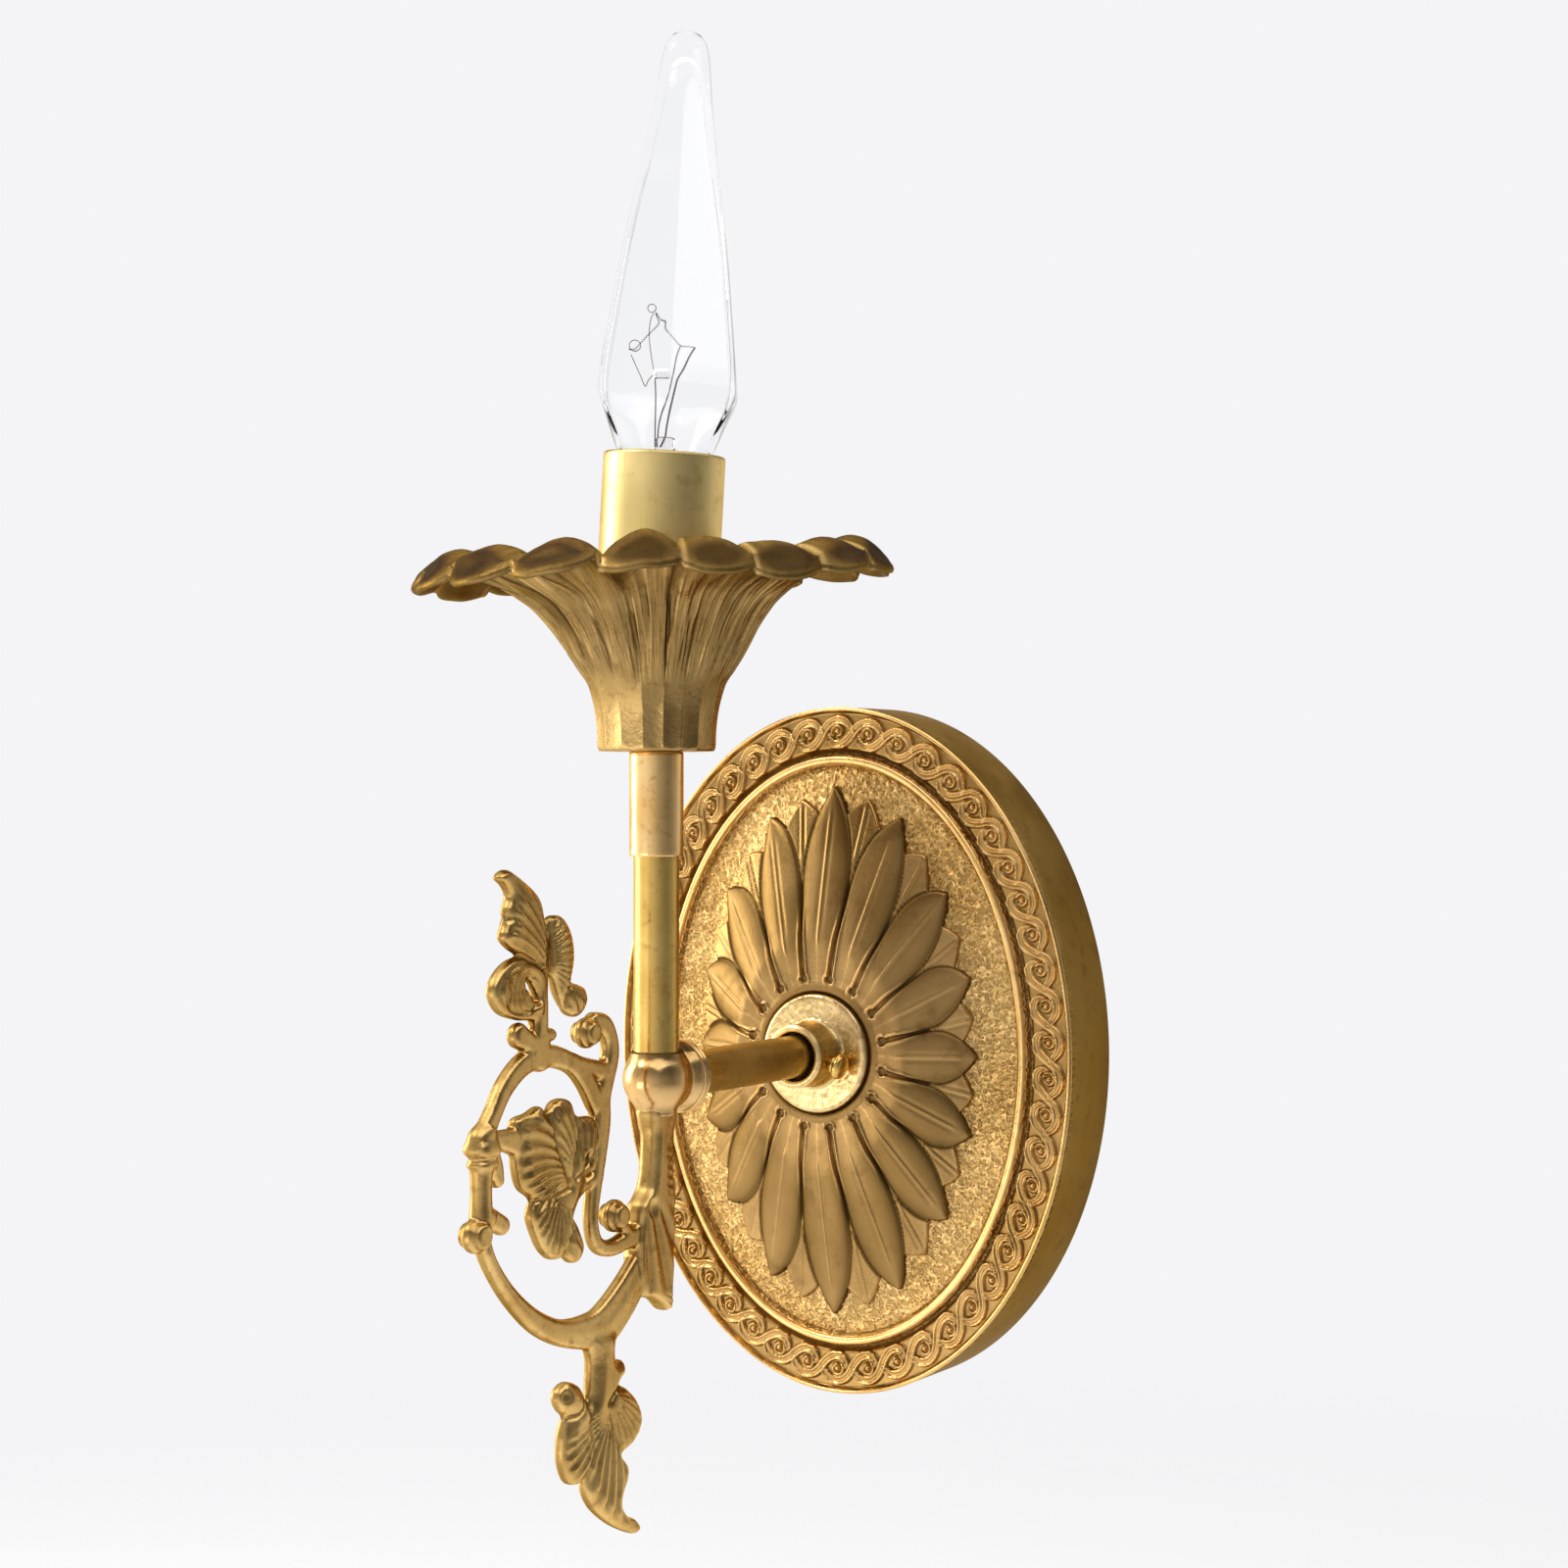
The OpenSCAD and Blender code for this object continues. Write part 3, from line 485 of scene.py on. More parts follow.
def petal_relief(phi, s):
    """Relief over the dome in the petal field, whether a petal is there, and the tone of each point."""
    step = 2 * np.pi / PETALS
    kappa = (phi / step + 0.5) % 1.0 - 0.5
    eps = 1e-3
    x1, z1 = medallion_point(phi + eps, s)
    x0, z0 = medallion_point(phi - eps, s)
    pitch = np.hypot(x1 - x0, z1 - z0) / (2 * eps) * step
    x2, z2 = medallion_point(phi, s + eps)
    x3, z3 = medallion_point(phi, s - eps)
    reach = np.hypot(x2 - x3, z2 - z3) / (2 * eps)
    side = np.abs(kappa) * pitch
    q = np.clip((s - 0.46) / 0.54, 0, 1)
    half = 0.5 * pitch * np.clip(1 - q**1.75, 0, 1) ** 0.85
    edge = half - side
    ratio = np.clip(side / np.maximum(half, 0.3), 0, 1)
    # The front petals: crowned, with a fine rib that a shallow groove runs along on each side.
    front = 1.7 * smooth(-0.02, 0.25, s) - 0.75 * ratio**2.4 * smooth(0.0, 0.3, s)
    front = front - 0.4 * smooth(0.84, 1.0, ratio) * smooth(0.1, 0.4, s)
    front = front + 0.17 * bump(side, 0, 0.24) * smooth(0.1, 0.2, s) * smooth(0.92, 0.78, s)
    front = front - 0.14 * bump(side, 0.75, 0.5) * smooth(0.15, 0.35, s) * smooth(0.92, 0.75, s)
    inside = smooth(-0.12, 0.16, edge)
    back_side = (0.5 - np.abs(kappa)) * pitch
    qb = np.clip((s - 0.6) / 0.375, 0, 1)
    back_half = 0.5 * pitch * np.clip(1 - qb**1.9, 0, 1) ** 0.9
    back_edge = back_half - back_side
    back_in = smooth(-0.14, 0.16, back_edge) * smooth(0.3, 0.45, s)
    rib = smooth(0.6, 0.7, s) * smooth(0.96, 0.9, s)
    back = 1.0 - 0.3 * smooth(0.7, 0.0, back_edge) + 0.18 * bump(back_edge, 0.5, 0.32) * rib
    back = back + 0.22 * bump(back_side, 0, 0.24) * rib - 0.2 * bump(back_side, 0.7, 0.4) * rib
    present = np.maximum(inside, back_in)
    h = np.maximum(front * inside, back * back_in * (1 - inside))
    # A keyhole where two petals meet at the root: a round pit, and a lip that runs out as two ridges.
    along = (s + 0.02) * reach
    run = np.where(along > 0, back_side - 0.55 + 0.25 * smooth(0.12, 0.4, s), 9.0)
    apart = np.minimum(np.hypot(back_side, along) - 1.0, run)
    outward = smooth(0.42, 0.22, s)
    lip = bump(apart, 0.34, 0.3) * outward
    seam = bump(back_side, 0, 0.3) * smooth(0.2, 0.34, s) * smooth(0.66, 0.5, s)
    pit = smooth(0.1, -0.35, apart) * outward
    at_root = smooth(0.08, 0.02, s)
    h = h - (0.26 + 0.4 * at_root) * pit + 0.45 * lip - 0.34 * seam
    # Tone: painted shadow just outside the edges of the front and back petals; painted highlights along the
    # petal edges, midribs, keyhole lips and over the back petals; lighter down each front petal's middle and
    # darker at its sides; darker in the pits and seams at the roots.
    tone = (0.4 + 0.16 * (1 - ratio) * inside + 0.7 * lip
            + 0.3 * bump(side, 0, 0.24) * inside * smooth(0.92, 0.75, s))
    tone = tone + (0.04 - 0.24 * at_root) * smooth(0.1, -0.3, apart) * outward - 0.24 * seam
    tone = tone - 0.55 * bump(edge, -0.14, 0.42) * smooth(0.5, 0.62, s)
    tone = tone + 0.24 * bump(edge, 0.3, 0.3) * smooth(0.5, 0.65, s)
    tone = tone - 0.16 * smooth(0.55, 0.95, ratio) * inside * smooth(0.1, 0.3, s)
    tone = tone + (0.4 + 0.45 * bump(back_edge, 0.36, 0.3)) * back_in * (1 - inside)
    tone = tone - 0.5 * bump(back_edge, -0.14, 0.38) * (1 - inside) * smooth(0.5, 0.6, s)
    return h, present, tone


def stipple(points):
    """The pebbled ground: small worm-like ridges, 0 to 1."""
    shift = [value_noise(points * 0.9 + 40, 3), value_noise(points * 0.9 + 80, 4), 0 * points[:, 0]]
    warp = np.stack(shift, axis=1)
    n = value_noise(points * 0.85 + warp * 0.7, 5) + 0.35 * value_noise(points * 2.3, 6)
    return smooth(0.42, 0.0, np.abs(n))


def closed_rings(name, rings):
    """One closed skin from rings of (x, z, height from the wall, tone)."""
    columns = max(np.size(r[0]) for r in rings)
    full = [[value + np.zeros(columns) for value in ring] for ring in rings]
    verts = [np.stack([x, -y, z], axis=1) for x, z, y, _ in full]
    piece = add_mesh(name, np.concatenate(verts), grid_faces(len(rings), columns))
    set_tone(piece, np.concatenate([tone for _, _, _, tone in full]))
    return piece


def plate_ground(columns=1300):
    """The bead and the pebbled ground between the waves and the petals, running in under the petals."""
    phi = np.arange(columns) / columns * 2 * np.pi
    t = spread(phi)
    rings = []

    def oval(d, y, tone):
        rings.append(((HALF_W - d) * np.sin(t), (HALF_H - d) * np.cos(t), y, tone))

    # Painted shade in the cove under the border's step and in the groove beside the bead, and a painted
    # highlight along the bead's top.
    oval(10.1, 17.2, 0.1)
    oval(10.3, 18.1, 0.12)
    for d in np.concatenate([[10.6, 10.8], np.linspace(10.95, 13.4, 13)]):
        across = abs(d - 12.2) / 1.28
        y = FACE - 1.4 + 2.9 * np.sqrt(np.clip(1 - across**3.2, 0, 1))
        oval(d, max(y, FACE - 1.4 if d < 12 else FACE - 0.55), 0.25 + 0.75 * smooth(18.6, 20.7, y))
    oval(13.6, FACE - 0.65, 0.15)
    oval(13.8, FACE - 0.4, 0.3)
    start_x, start_z = (HALF_W - 14.0) * np.sin(t), (HALF_H - 14.0) * np.cos(t)
    end_x, end_z = medallion_point(phi, 0.52)
    tip_x, tip_z = medallion_point(phi, 1.0)
    span = np.hypot(end_x - start_x, end_z - start_z)
    share = np.hypot(tip_x - start_x, tip_z - start_z) / span
    for f in np.linspace(0, 1, 52):
        x, z = start_x + f * (end_x - start_x), start_z + f * (end_z - start_z)
        worm = stipple(np.stack([x, z, 0 * x], axis=1)) * smooth(0, 0.03, f)
        past = np.clip((f - share) / (1 - share), 0, 1)
        base = FACE - 0.35 + (dome(1.0) - 0.15 - FACE + 0.35) * np.clip(f / share, 0, 1)
        base = base + (dome(1 - 0.48 * past) - dome(1.0))
        # The worms' tops are lighter, a painted highlight.
        rings.append((x, z, base + 0.27 * worm, 0.42 + 0.4 * worm))
    rings.append((end_x * 0.99, end_z * 0.99, 20.5, 0.2))
    rings.append((start_x, start_z, 17.4, 0.2))
    return closed_rings("plate_ground", rings)


def plate_petals(columns=820):
    """Two layers of petals round the seat of the slip ring, and the hole for the arm."""
    phi = np.arange(columns) / columns * 2 * np.pi
    rings = []
    steps = [np.linspace(1.01, 0.56, 56)[:-1], np.linspace(0.56, 0.2, 18), np.linspace(0.19, -0.06, 28)]
    for s in np.concatenate(steps):
        x, z = medallion_point(phi, s)
        h, present, tone = petal_relief(phi, np.full(columns, s))
        y = dome(s) + h + 0.6 * smooth(0.3, -0.06, s) - 1.3 * (1 - present) * (s > 0.5)
        rings.append((x, z, y, tone - 0.08 * smooth(0, 0.3, s)))
    # Painted shade round the seat of the slip ring, darkest where the ring meets it.
    for r, y, tone in ((15.9, 30.0, 0.4), (15.3, 30.2, 0.36), (14.7, 30.3, 0.3), (14.3, 30.2, 0.22),
                       (14.05, 29.9, 0.15), (13.9, 29.4, 0.1), (10, 29.45, 0.6), (HOLE_R + 0.3, 29.45, 0.6),
                       (HOLE_R, 29.2, 0.4), (HOLE_R, 27.3, 0.3), (HOLE_R + 0.3, 27.0, 0.3), (16, 26.4, 0.3)):
        rings.append((r * np.sin(phi), r * np.cos(phi), y, tone))
    for s in (0.3, 0.65, 1.01):
        x, z = medallion_point(phi, s)
        rings.append((x, z, dome(s) - 2.6, 0.3))
    return closed_rings("plate_petals", rings)


# ------------------------------------------------------------------ scroll bracket
# Bands are [towards the wall from the stem, up, half width]; leaves are outlines, in mm.

BANDS = {
    "upper_c": [(-59.5, -6, 2.4), (-56.2, -1.5, 1.9), (-52.5, 3.2, 2.1), (-46.5, 7, 2.3), (-39, 7.9, 2.3),
                (-31.5, 6, 2.1), (-26.5, 2.5, 2.3), (-22.5, -2.5, 2.4)],
    "s_curve": [(-23, 13.2, 2.2), (-19.6, 12.5, 2.2), (-17.4, 9.4, 2), (-17.2, 6, 2.1), (-18.8, 2.2, 2.3),
                (-20.5, -2, 2.5), (-20.8, -7, 2.7), (-21.6, -13, 2.2), (-23, -20, 1.7), (-23.9, -26, 1.4),
                (-22.3, -30.9, 1.6), (-17.5, -32.7, 1.7), (-11, -31.8, 2), (-6, -31, 2.6)],
    "web": [(-30.5, 6.4, 1.2), (-24.5, 4.4, 1.8), (-19, 3.2, 2)],
    "lower_c": [(-60, -22, 1.8), (-58.6, -28, 1.5), (-54.4, -33.8, 1.6), (-49, -39, 1.9), (-42.5, -43.6, 2.3),
                (-35, -46.8, 2.6), (-27, -48.1, 3.4), (-20, -48, 4.6), (-13, -43.8, 4.4), (-7, -38.5, 3.8),
                (-2, -34, 3.2)],
    "pillar": [(-59.8, up, half) for up, half in ((-6.2, 2.6), (-7.6, 3.2), (-8.8, 3.1), (-9.9, 2.4),
                                                  (-11, 2.8), (-12.4, 2.3), (-17, 2.15), (-21, 2.4))],
    "pillar_bump": [(-58, -21.2, 2.2), (-55.8, -22.2, 2), (-53.8, -23.2, 1.9)],
    "pillar_hook": [(-58, -9, 2.6), (-56.2, -12, 2.2), (-55.2, -14.4, 1.5)],
    "cap": [(-61, -6.4, 1.5), (-55, -6.8, 1.8), (-48, -8, 3)],
    "twig": [(-41.4, 8, 3), (-41.6, 13, 2.2), (-41.3, 22, 1.9), (-41, 29, 1.8)],
    "twig_bud": [(-48.2, 12.5, 2.5), (-45.2, 11, 2.1), (-42, 9.4, 2)],
    "twig_knob": [(-41, 11, 1.5), (-39.4, 11.8, 1.4), (-38, 12, 1.3)],
    "tie": [(-30, -20, 1.6), (-26, -18.6, 1.2), (-22.5, -17.6, 1.6)],
    "hook_stalk": [(-15.5, -26.4, 1.6), (-12.6, -29, 1.4), (-10.5, -31, 1.4)],
}
LEAVES = {
    "volute": [(-49, 27.8), (-54, 26), (-57, 22.8), (-57, 20), (-54.5, 17.2), (-50, 15.8), (-45, 15.2),
               (-41, 15), (-40, 20), (-40, 27)],
    "top_leaf": [(-55.2, 43), (-53, 44.6), (-50, 43.7), (-45, 41), (-42.2, 38.6), (-40.8, 35), (-39.6, 30),
                 (-39.8, 24), (-43.5, 25.5), (-49, 28), (-52.5, 29.9), (-53.8, 31.8), (-52.8, 34.3),
                 (-52.6, 37), (-51.6, 39.4), (-53, 41.4)],
    "right_lobe": [(-39.5, 34), (-36, 35.3), (-33.5, 34), (-31.5, 31), (-30.8, 27), (-31.4, 22.4),
                   (-29, 21.3), (-27, 20.4), (-26.3, 18), (-27.5, 16), (-30, 14.9), (-33.5, 16.2),
                   (-36, 19.5), (-37.6, 23), (-40, 25)],
    "centre_leaf": [(-50, -3.6), (-45.5, -2.6), (-42, -1.6), (-39.6, -3), (-37, -1.2), (-34.5, -0.8),
                    (-32, -1.5), (-30.5, -3.5), (-28.5, -5), (-24, -5.6), (-22.5, -10), (-23.5, -15),
                    (-27, -17.5), (-29, -21), (-30.6, -24), (-29.4, -26.5), (-27.4, -30.8), (-29, -33.5),
                    (-31.4, -33.6), (-33.6, -32.4), (-38, -32), (-41, -30), (-43.2, -27), (-45, -23),
                    (-44.6, -19.6), (-48, -17), (-49.6, -13), (-50, -8)],
    "pendant": [(-25.6, -49), (-24.6, -55), (-25.4, -61.6), (-27.2, -60.3), (-29.5, -58), (-33, -56.9),
                (-35.5, -58), (-36.2, -60.2), (-35, -62.3), (-33.6, -64), (-34.6, -68), (-34.5, -73),
                (-32.5, -76.8), (-29.5, -77.8), (-27.2, -77.4), (-26.3, -80.5), (-23.8, -84), (-19, -87.6),
                (-14, -90.3), (-9, -92.2), (-7.3, -91.2), (-8.8, -89.3), (-11.8, -87.8), (-13.8, -85.4),
                (-13.4, -83), (-12, -80.5), (-11.6, -78), (-13.4, -75), (-10, -73.4), (-7.4, -71),
                (-6.9, -68), (-8.8, -64.7), (-12, -62), (-14.6, -60.4), (-12.9, -58.5), (-13.6, -56),
                (-16.5, -54.6), (-17, -49)],
}
EYE = [(-46.5, 23.2), (-44.7, 22.3), (-43, 20.2), (-43.3, 18.7), (-45, 20.4), (-46.6, 22)]
COLUMN = [(-3.9, -5.6), (-3.5, -11), (-3.7, -16), (-4.9, -22), (-8, -25.6), (-8.2, -31), (-9, -36),
          (-7, -43.6), (-4, -44.6), (-0.5, -46.4), (1.8, -48.3), (3.2, -47.3), (3.3, -43), (3.8, -35),
          (4.2, -22), (4, -12), (4.1, -5.6)]
# Round buttons and dimples: [towards the wall from the stem, up, radius].
BUTTONS = [(-61.6, -24.2, 3.3), (-25.4, 11.4, 3.1), (-15.5, -26.4, 3.3)]
DIMPLES = [(-27.6, -70.6, 1.3), (-52.2, 35.2, 1.0), (-34.2, -59.6, 1.5)]
# Fans of veins: leaf, root, number round a full turn, bend, and the angles the fan covers.
FANS = [
    ("centre_leaf", (-32.6, -18.2), 34, -0.5, -500, 500), ("top_leaf", (-38.0, 21.5), 52, -0.25, -500, 500),
    ("right_lobe", (-42.5, 25.0), 42, 0.3, -500, 500), ("pendant", (-20.5, -62.5), 38, 0.2, -155, 20),
]
# Creases between the lobes of a leaf.
CREASES = [
    ((-39.6, -2.2), (-37.6, -9.5), (-33.8, -16.5)), ((-45.5, -19.8), (-39.5, -19.6), (-33.5, -18.6)),
    ((-30, -2.6), (-30.6, -9), (-32, -16)), ((-31.2, -25), (-33.5, -30.2), (-33.8, -33)),
    ((-24, -12), (-28, -15.5), (-31, -17)), ((-39.2, 35), (-38.6, 28), (-38.4, 20)),
    ((-53.4, 29), (-47, 27.6), (-41, 24.4)), ((-31.2, 22.5), (-33.4, 20.4), (-33.8, 17)),
    ((-25.4, -61.6), (-26.2, -66), (-25, -71.5), (-26.8, -77.6)),
    ((-13.6, -75.4), (-16.5, -72), (-19.5, -66)),
    ((-14.6, -60.2), (-17.6, -61.5), (-20, -63.5)), ((-33.8, -64), (-30, -63.6), (-27, -61.4)),
]


def outline_distance(u, w, points):
    """Signed distance to a closed outline, positive inside."""
    p = curve(points, 5, closed=True)
    q = np.roll(p, -1, axis=0)
    best = np.full(u.shape, 1e9)
    inside = np.zeros(u.shape, bool)
    for (ax, ay), (bx, by) in zip(p, q):
        dx, dy = bx - ax, by - ay
        t = np.clip(((u - ax) * dx + (w - ay) * dy) / (dx * dx + dy * dy + 1e-12), 0, 1)
        best = np.minimum(best, np.hypot(u - ax - t * dx, w - ay - t * dy))
        crosses = ((ay > w) != (by > w)) & (u < ax + (w - ay) * dx / (dy if dy else 1e-12))
        inside ^= crosses
    return np.where(inside, best, -best)


def soft_max(a, b, k):
    """The larger of a and b, blended over a width of about k."""
    h = np.clip(0.5 + 0.5 * (a - b) / k, 0, 1)
    return b + (a - b) * h + k * h * (1 - h)


def scroll_bracket(step=0.36):
    """The cast scroll: rounded bands, puffed and veined leaves and the ribbed column, as one closed skin."""
    u = np.arange(-67.5, 7.5, step)
    w = np.arange(-95.5, 47.5, step)
    U, W = np.meshgrid(u, w, indexing="ij")
    flat = np.full(U.shape, -1e9)
    thick = np.full(U.shape, 1.55)
    for points in BANDS.values():
        d, half = ribbon_distance(U, W, curve(points, 5))
        flat = soft_max(flat, half - d, 0.9)
    ridge, _ = ribbon_distance(U, W, curve(BANDS["lower_c"][1:], 5))
    thick = thick + 0.3 * bump(ridge, 0, 1.4) * smooth(-2.2, -0.5, flat)
    round_post, post_half = ribbon_distance(U, W, curve(BANDS["pillar"], 5))
    post = smooth(0.6, -0.8, round_post - post_half) * smooth(-24, -21, W)
    thick = thick + (post_half - 0.15 - thick) * post
    leaves = {}
    for name, points in LEAVES.items():
        d = outline_distance(U, W, points)
        leaves[name] = d
        flat = soft_max(flat, d, 0.8)
        volute = name == "volute"
        thick = thick + (0.75 if volute else 1.0) * smooth(0.2, 3.2, d) - 0.25 * bump(d, 1.4, 0.5) * volute
    groove = np.zeros(U.shape)
    for name, (cx, cz), count, bend, lo, hi in FANS:
        r = np.hypot(U - cx, W - cz)
        angle = np.degrees(np.arctan2(W - cz, U - cx))
        turn = np.radians(angle) + bend * np.log(np.maximum(r, 0.5) / 8)
        wave = swell(count * turn + 1.4 * np.sin(3.1 * turn + 0.15 * r))
        span = smooth(lo - 10, lo + 10, angle) * smooth(hi + 10, hi - 10, angle)
        inset = smooth(2.2, 7.0, r) * smooth(0.3, 2.4, leaves[name])
        groove = np.maximum(groove, wave**1.2 * 0.55 * inset * span)
    sunk = smooth(5.6, 4.7, np.hypot((U + 48.3) / 1.15, (W - 20.9) / 0.85))
    thick = thick - 0.85 * sunk * smooth(0.3, 1.2, leaves["volute"])
    groove = groove + 0.2 * swell(np.hypot(U + 45, (W - 20.9) * 1.2) * 4.6) * sunk
    for points in CREASES:
        d, _ = ribbon_distance(U, W, curve([(a, b, 0.5) for a, b in points], 5))
        groove = np.maximum(groove, 0.62 * bump(d, 0, 0.48))
        thick = thick - 0.4 * bump(d, 0, 1.5)
    for a, b, r in BUTTONS:
        d = np.hypot(U - a, W - b)
        flat = soft_max(flat, r - d, 0.5)
        thick = thick + 1.15 * smooth(r + 0.1, r - 1.5, d)
        groove = np.maximum(groove, 0.5 * bump(d, r - 0.55, 0.3))
    for a, b, r in DIMPLES:
        groove = np.maximum(groove, 0.8 * smooth(r, r * 0.3, np.hypot(U - a, W - b)))
    flat = np.minimum(flat, -outline_distance(U, W, EYE))
    flat = np.minimum(flat, np.hypot(U + 26.8, W + 13.7) - 1.3)
    block = outline_distance(U, W, COLUMN)
    flat = soft_max(flat, block, 0.7)
    thick = thick + (2.75 + 0.5 * smooth(-12, -6, W) - thick) * smooth(-0.4, 0.9, block)
    ribs = swell(2 * np.pi * (W + 0.12 * U) / 1.9) ** 1.5 * smooth(-24.5, -22.5, W) * smooth(-12.6, -14.5, W)
    foot = swell(2 * np.pi * (W + 0.5 * U) / 1.25) ** 1.4 * smooth(-43.6, -45.2, W)
    vein = swell(30 * np.arctan2(U + 9, -(W + 14))) ** 1.5 * smooth(-25, -28, W) * smooth(-44.6, -42.8, W)
    on_block = smooth(0.1, 0.8, block)
    groove = np.maximum(groove, on_block * (0.42 * ribs * smooth(0, 1.6, U) + 0.3 * foot + 0.34 * vein))
    thick = thick - 0.8 * on_block * smooth(2.4, 0.6, np.hypot(U + 5.0, W + 26.0))
    thick = np.maximum(thick - groove, 0.7)
    x = np.arange(-4.5, 4.5 + step / 2, step)
    edge = np.minimum(thick, 1.3 + 0.95 * np.maximum(post, on_block * smooth(-26, -20, W)))[:, None, :]
    inner_flat = edge - flat[:, None, :]
    inner_x = np.abs(x)[None, :, None] - (thick[:, None, :] - edge)
    field = np.hypot(np.maximum(inner_flat, 0), np.maximum(inner_x, 0))
    field = field + np.minimum(np.maximum(inner_flat, inner_x), 0) - edge
    field = np.maximum(field, W[:, None, :] + 5.2 - 60 * (U[:, None, :] < -12))
    verts, quads = surface_nets(field, np.array([u[0], x[0], w[0]]), step)
    ij = np.clip(((verts[:, [0, 2]] - [u[0], w[0]]) / step).astype(int), 0, np.array(U.shape) - 1)
    deep = groove[ij[:, 0], ij[:, 1]]
    rim = np.clip(flat[ij[:, 0], ij[:, 1]], 0, 3)
    skin = np.stack([verts[:, 1], verts[:, 0] - REACH, verts[:, 2]], axis=1)
    piece = add_mesh("scroll_casting", skin, quads)
    facing_out = np.zeros(len(verts) * 3)
    piece.data.vertex_normals.foreach_get("vector", facing_out)
    # Painted shade on the casting's narrow edges, which are darker than its flat faces; the flat faces get a
    # painted highlight near their borders, and the grooves are darker, patina with painted shade.
    shaded_edge = smooth(0.62, 0.2, np.abs(facing_out[::3]))
    set_tone(piece, 0.72 - 0.6 * deep + 0.22 * smooth(1.2, 0.2, rim) * (1 - shaded_edge) - 0.42 * shaded_edge)
    return piece


# ------------------------------------------------------------------ flower cup

# Petal middles, in degrees to the right of the camera's direction as it looks at the cup.
PETAL_AT = [-67, -43.7, -21.4, 0.9, 17.5, 35.5, 56.5, 79]
PETAL_AT += [79 + (293 - 79) * k / 9 for k in range(1, 9)]
# The cup's outside and inside: (radius, height above its foot).
CUP_LOW = [(5.2, 0), (11.4, 0), (11.95, 0.25), (12.1, 0.9), (12.15, 2.4), (12.3, 5.3), (12.9, 9.4),
           (14.2, 13.4), (16.4, 17.5), (18.9, 21.7), (21.5, 25.6), (25.1, 29.7), (29.6, 33), (35, 36.4),
           (40, 38.4), (44, 38.0), (47, 36.1), (48.9, 34.0), (49.7, 33.5), (50.1, 34.2)]
CUP_HIGH = [(50.1, 34.2), (50.15, 34.6), (49.95, 35.2), (49.3, 36.7), (47.2, 39.2), (44, 40.9), (40.5, 41.3),
            (34.2, 39.2), (28, 35.8), (23.6, 31.8), (19.8, 27), (17, 22.9), (14.7, 18.8), (12.9, 15.4),
            (12.4, 14.4), (11.1, 10), (10.4, 5.6), (10.1, 2.2), (5.2, 2.2)]
CUP_Z = 68  # height of the foot
# The cup leans a little to the camera's right and away from it.
LEAN_RIGHT, LEAN_BACK = math.radians(2.3), math.radians(1.8)
# For each petal: how far its crest stands up, and how deep the valley to its right neighbour is.
CREST = [0.0, 0.3, 1.2, -0.6, -1.6, -0.6, 0.5, 0.6, 0, 0.4, -0.3, 0.3, 0, 0.4, -0.2, 0.2]
VALLEY = [1.4, 2.8, 3.6, 1.6, 1.3, 1.6, 1.5, 1.6, 2, 2.4, 1.6, 2.2, 1.8, 2.4, 1.8, 2]


def by_length(points, spacing):
    """A smooth line through points, resampled at roughly even spacing."""
    p = curve(points, 12)
    length = np.concatenate([[0], np.cumsum(np.hypot(*np.diff(p, axis=0).T))])
    n = max(2, round(length[-1] / spacing))
    at = np.linspace(0, length[-1], n + 1)
    return np.stack([np.interp(at, length, p[:, k]) for k in (0, 1)], axis=1)


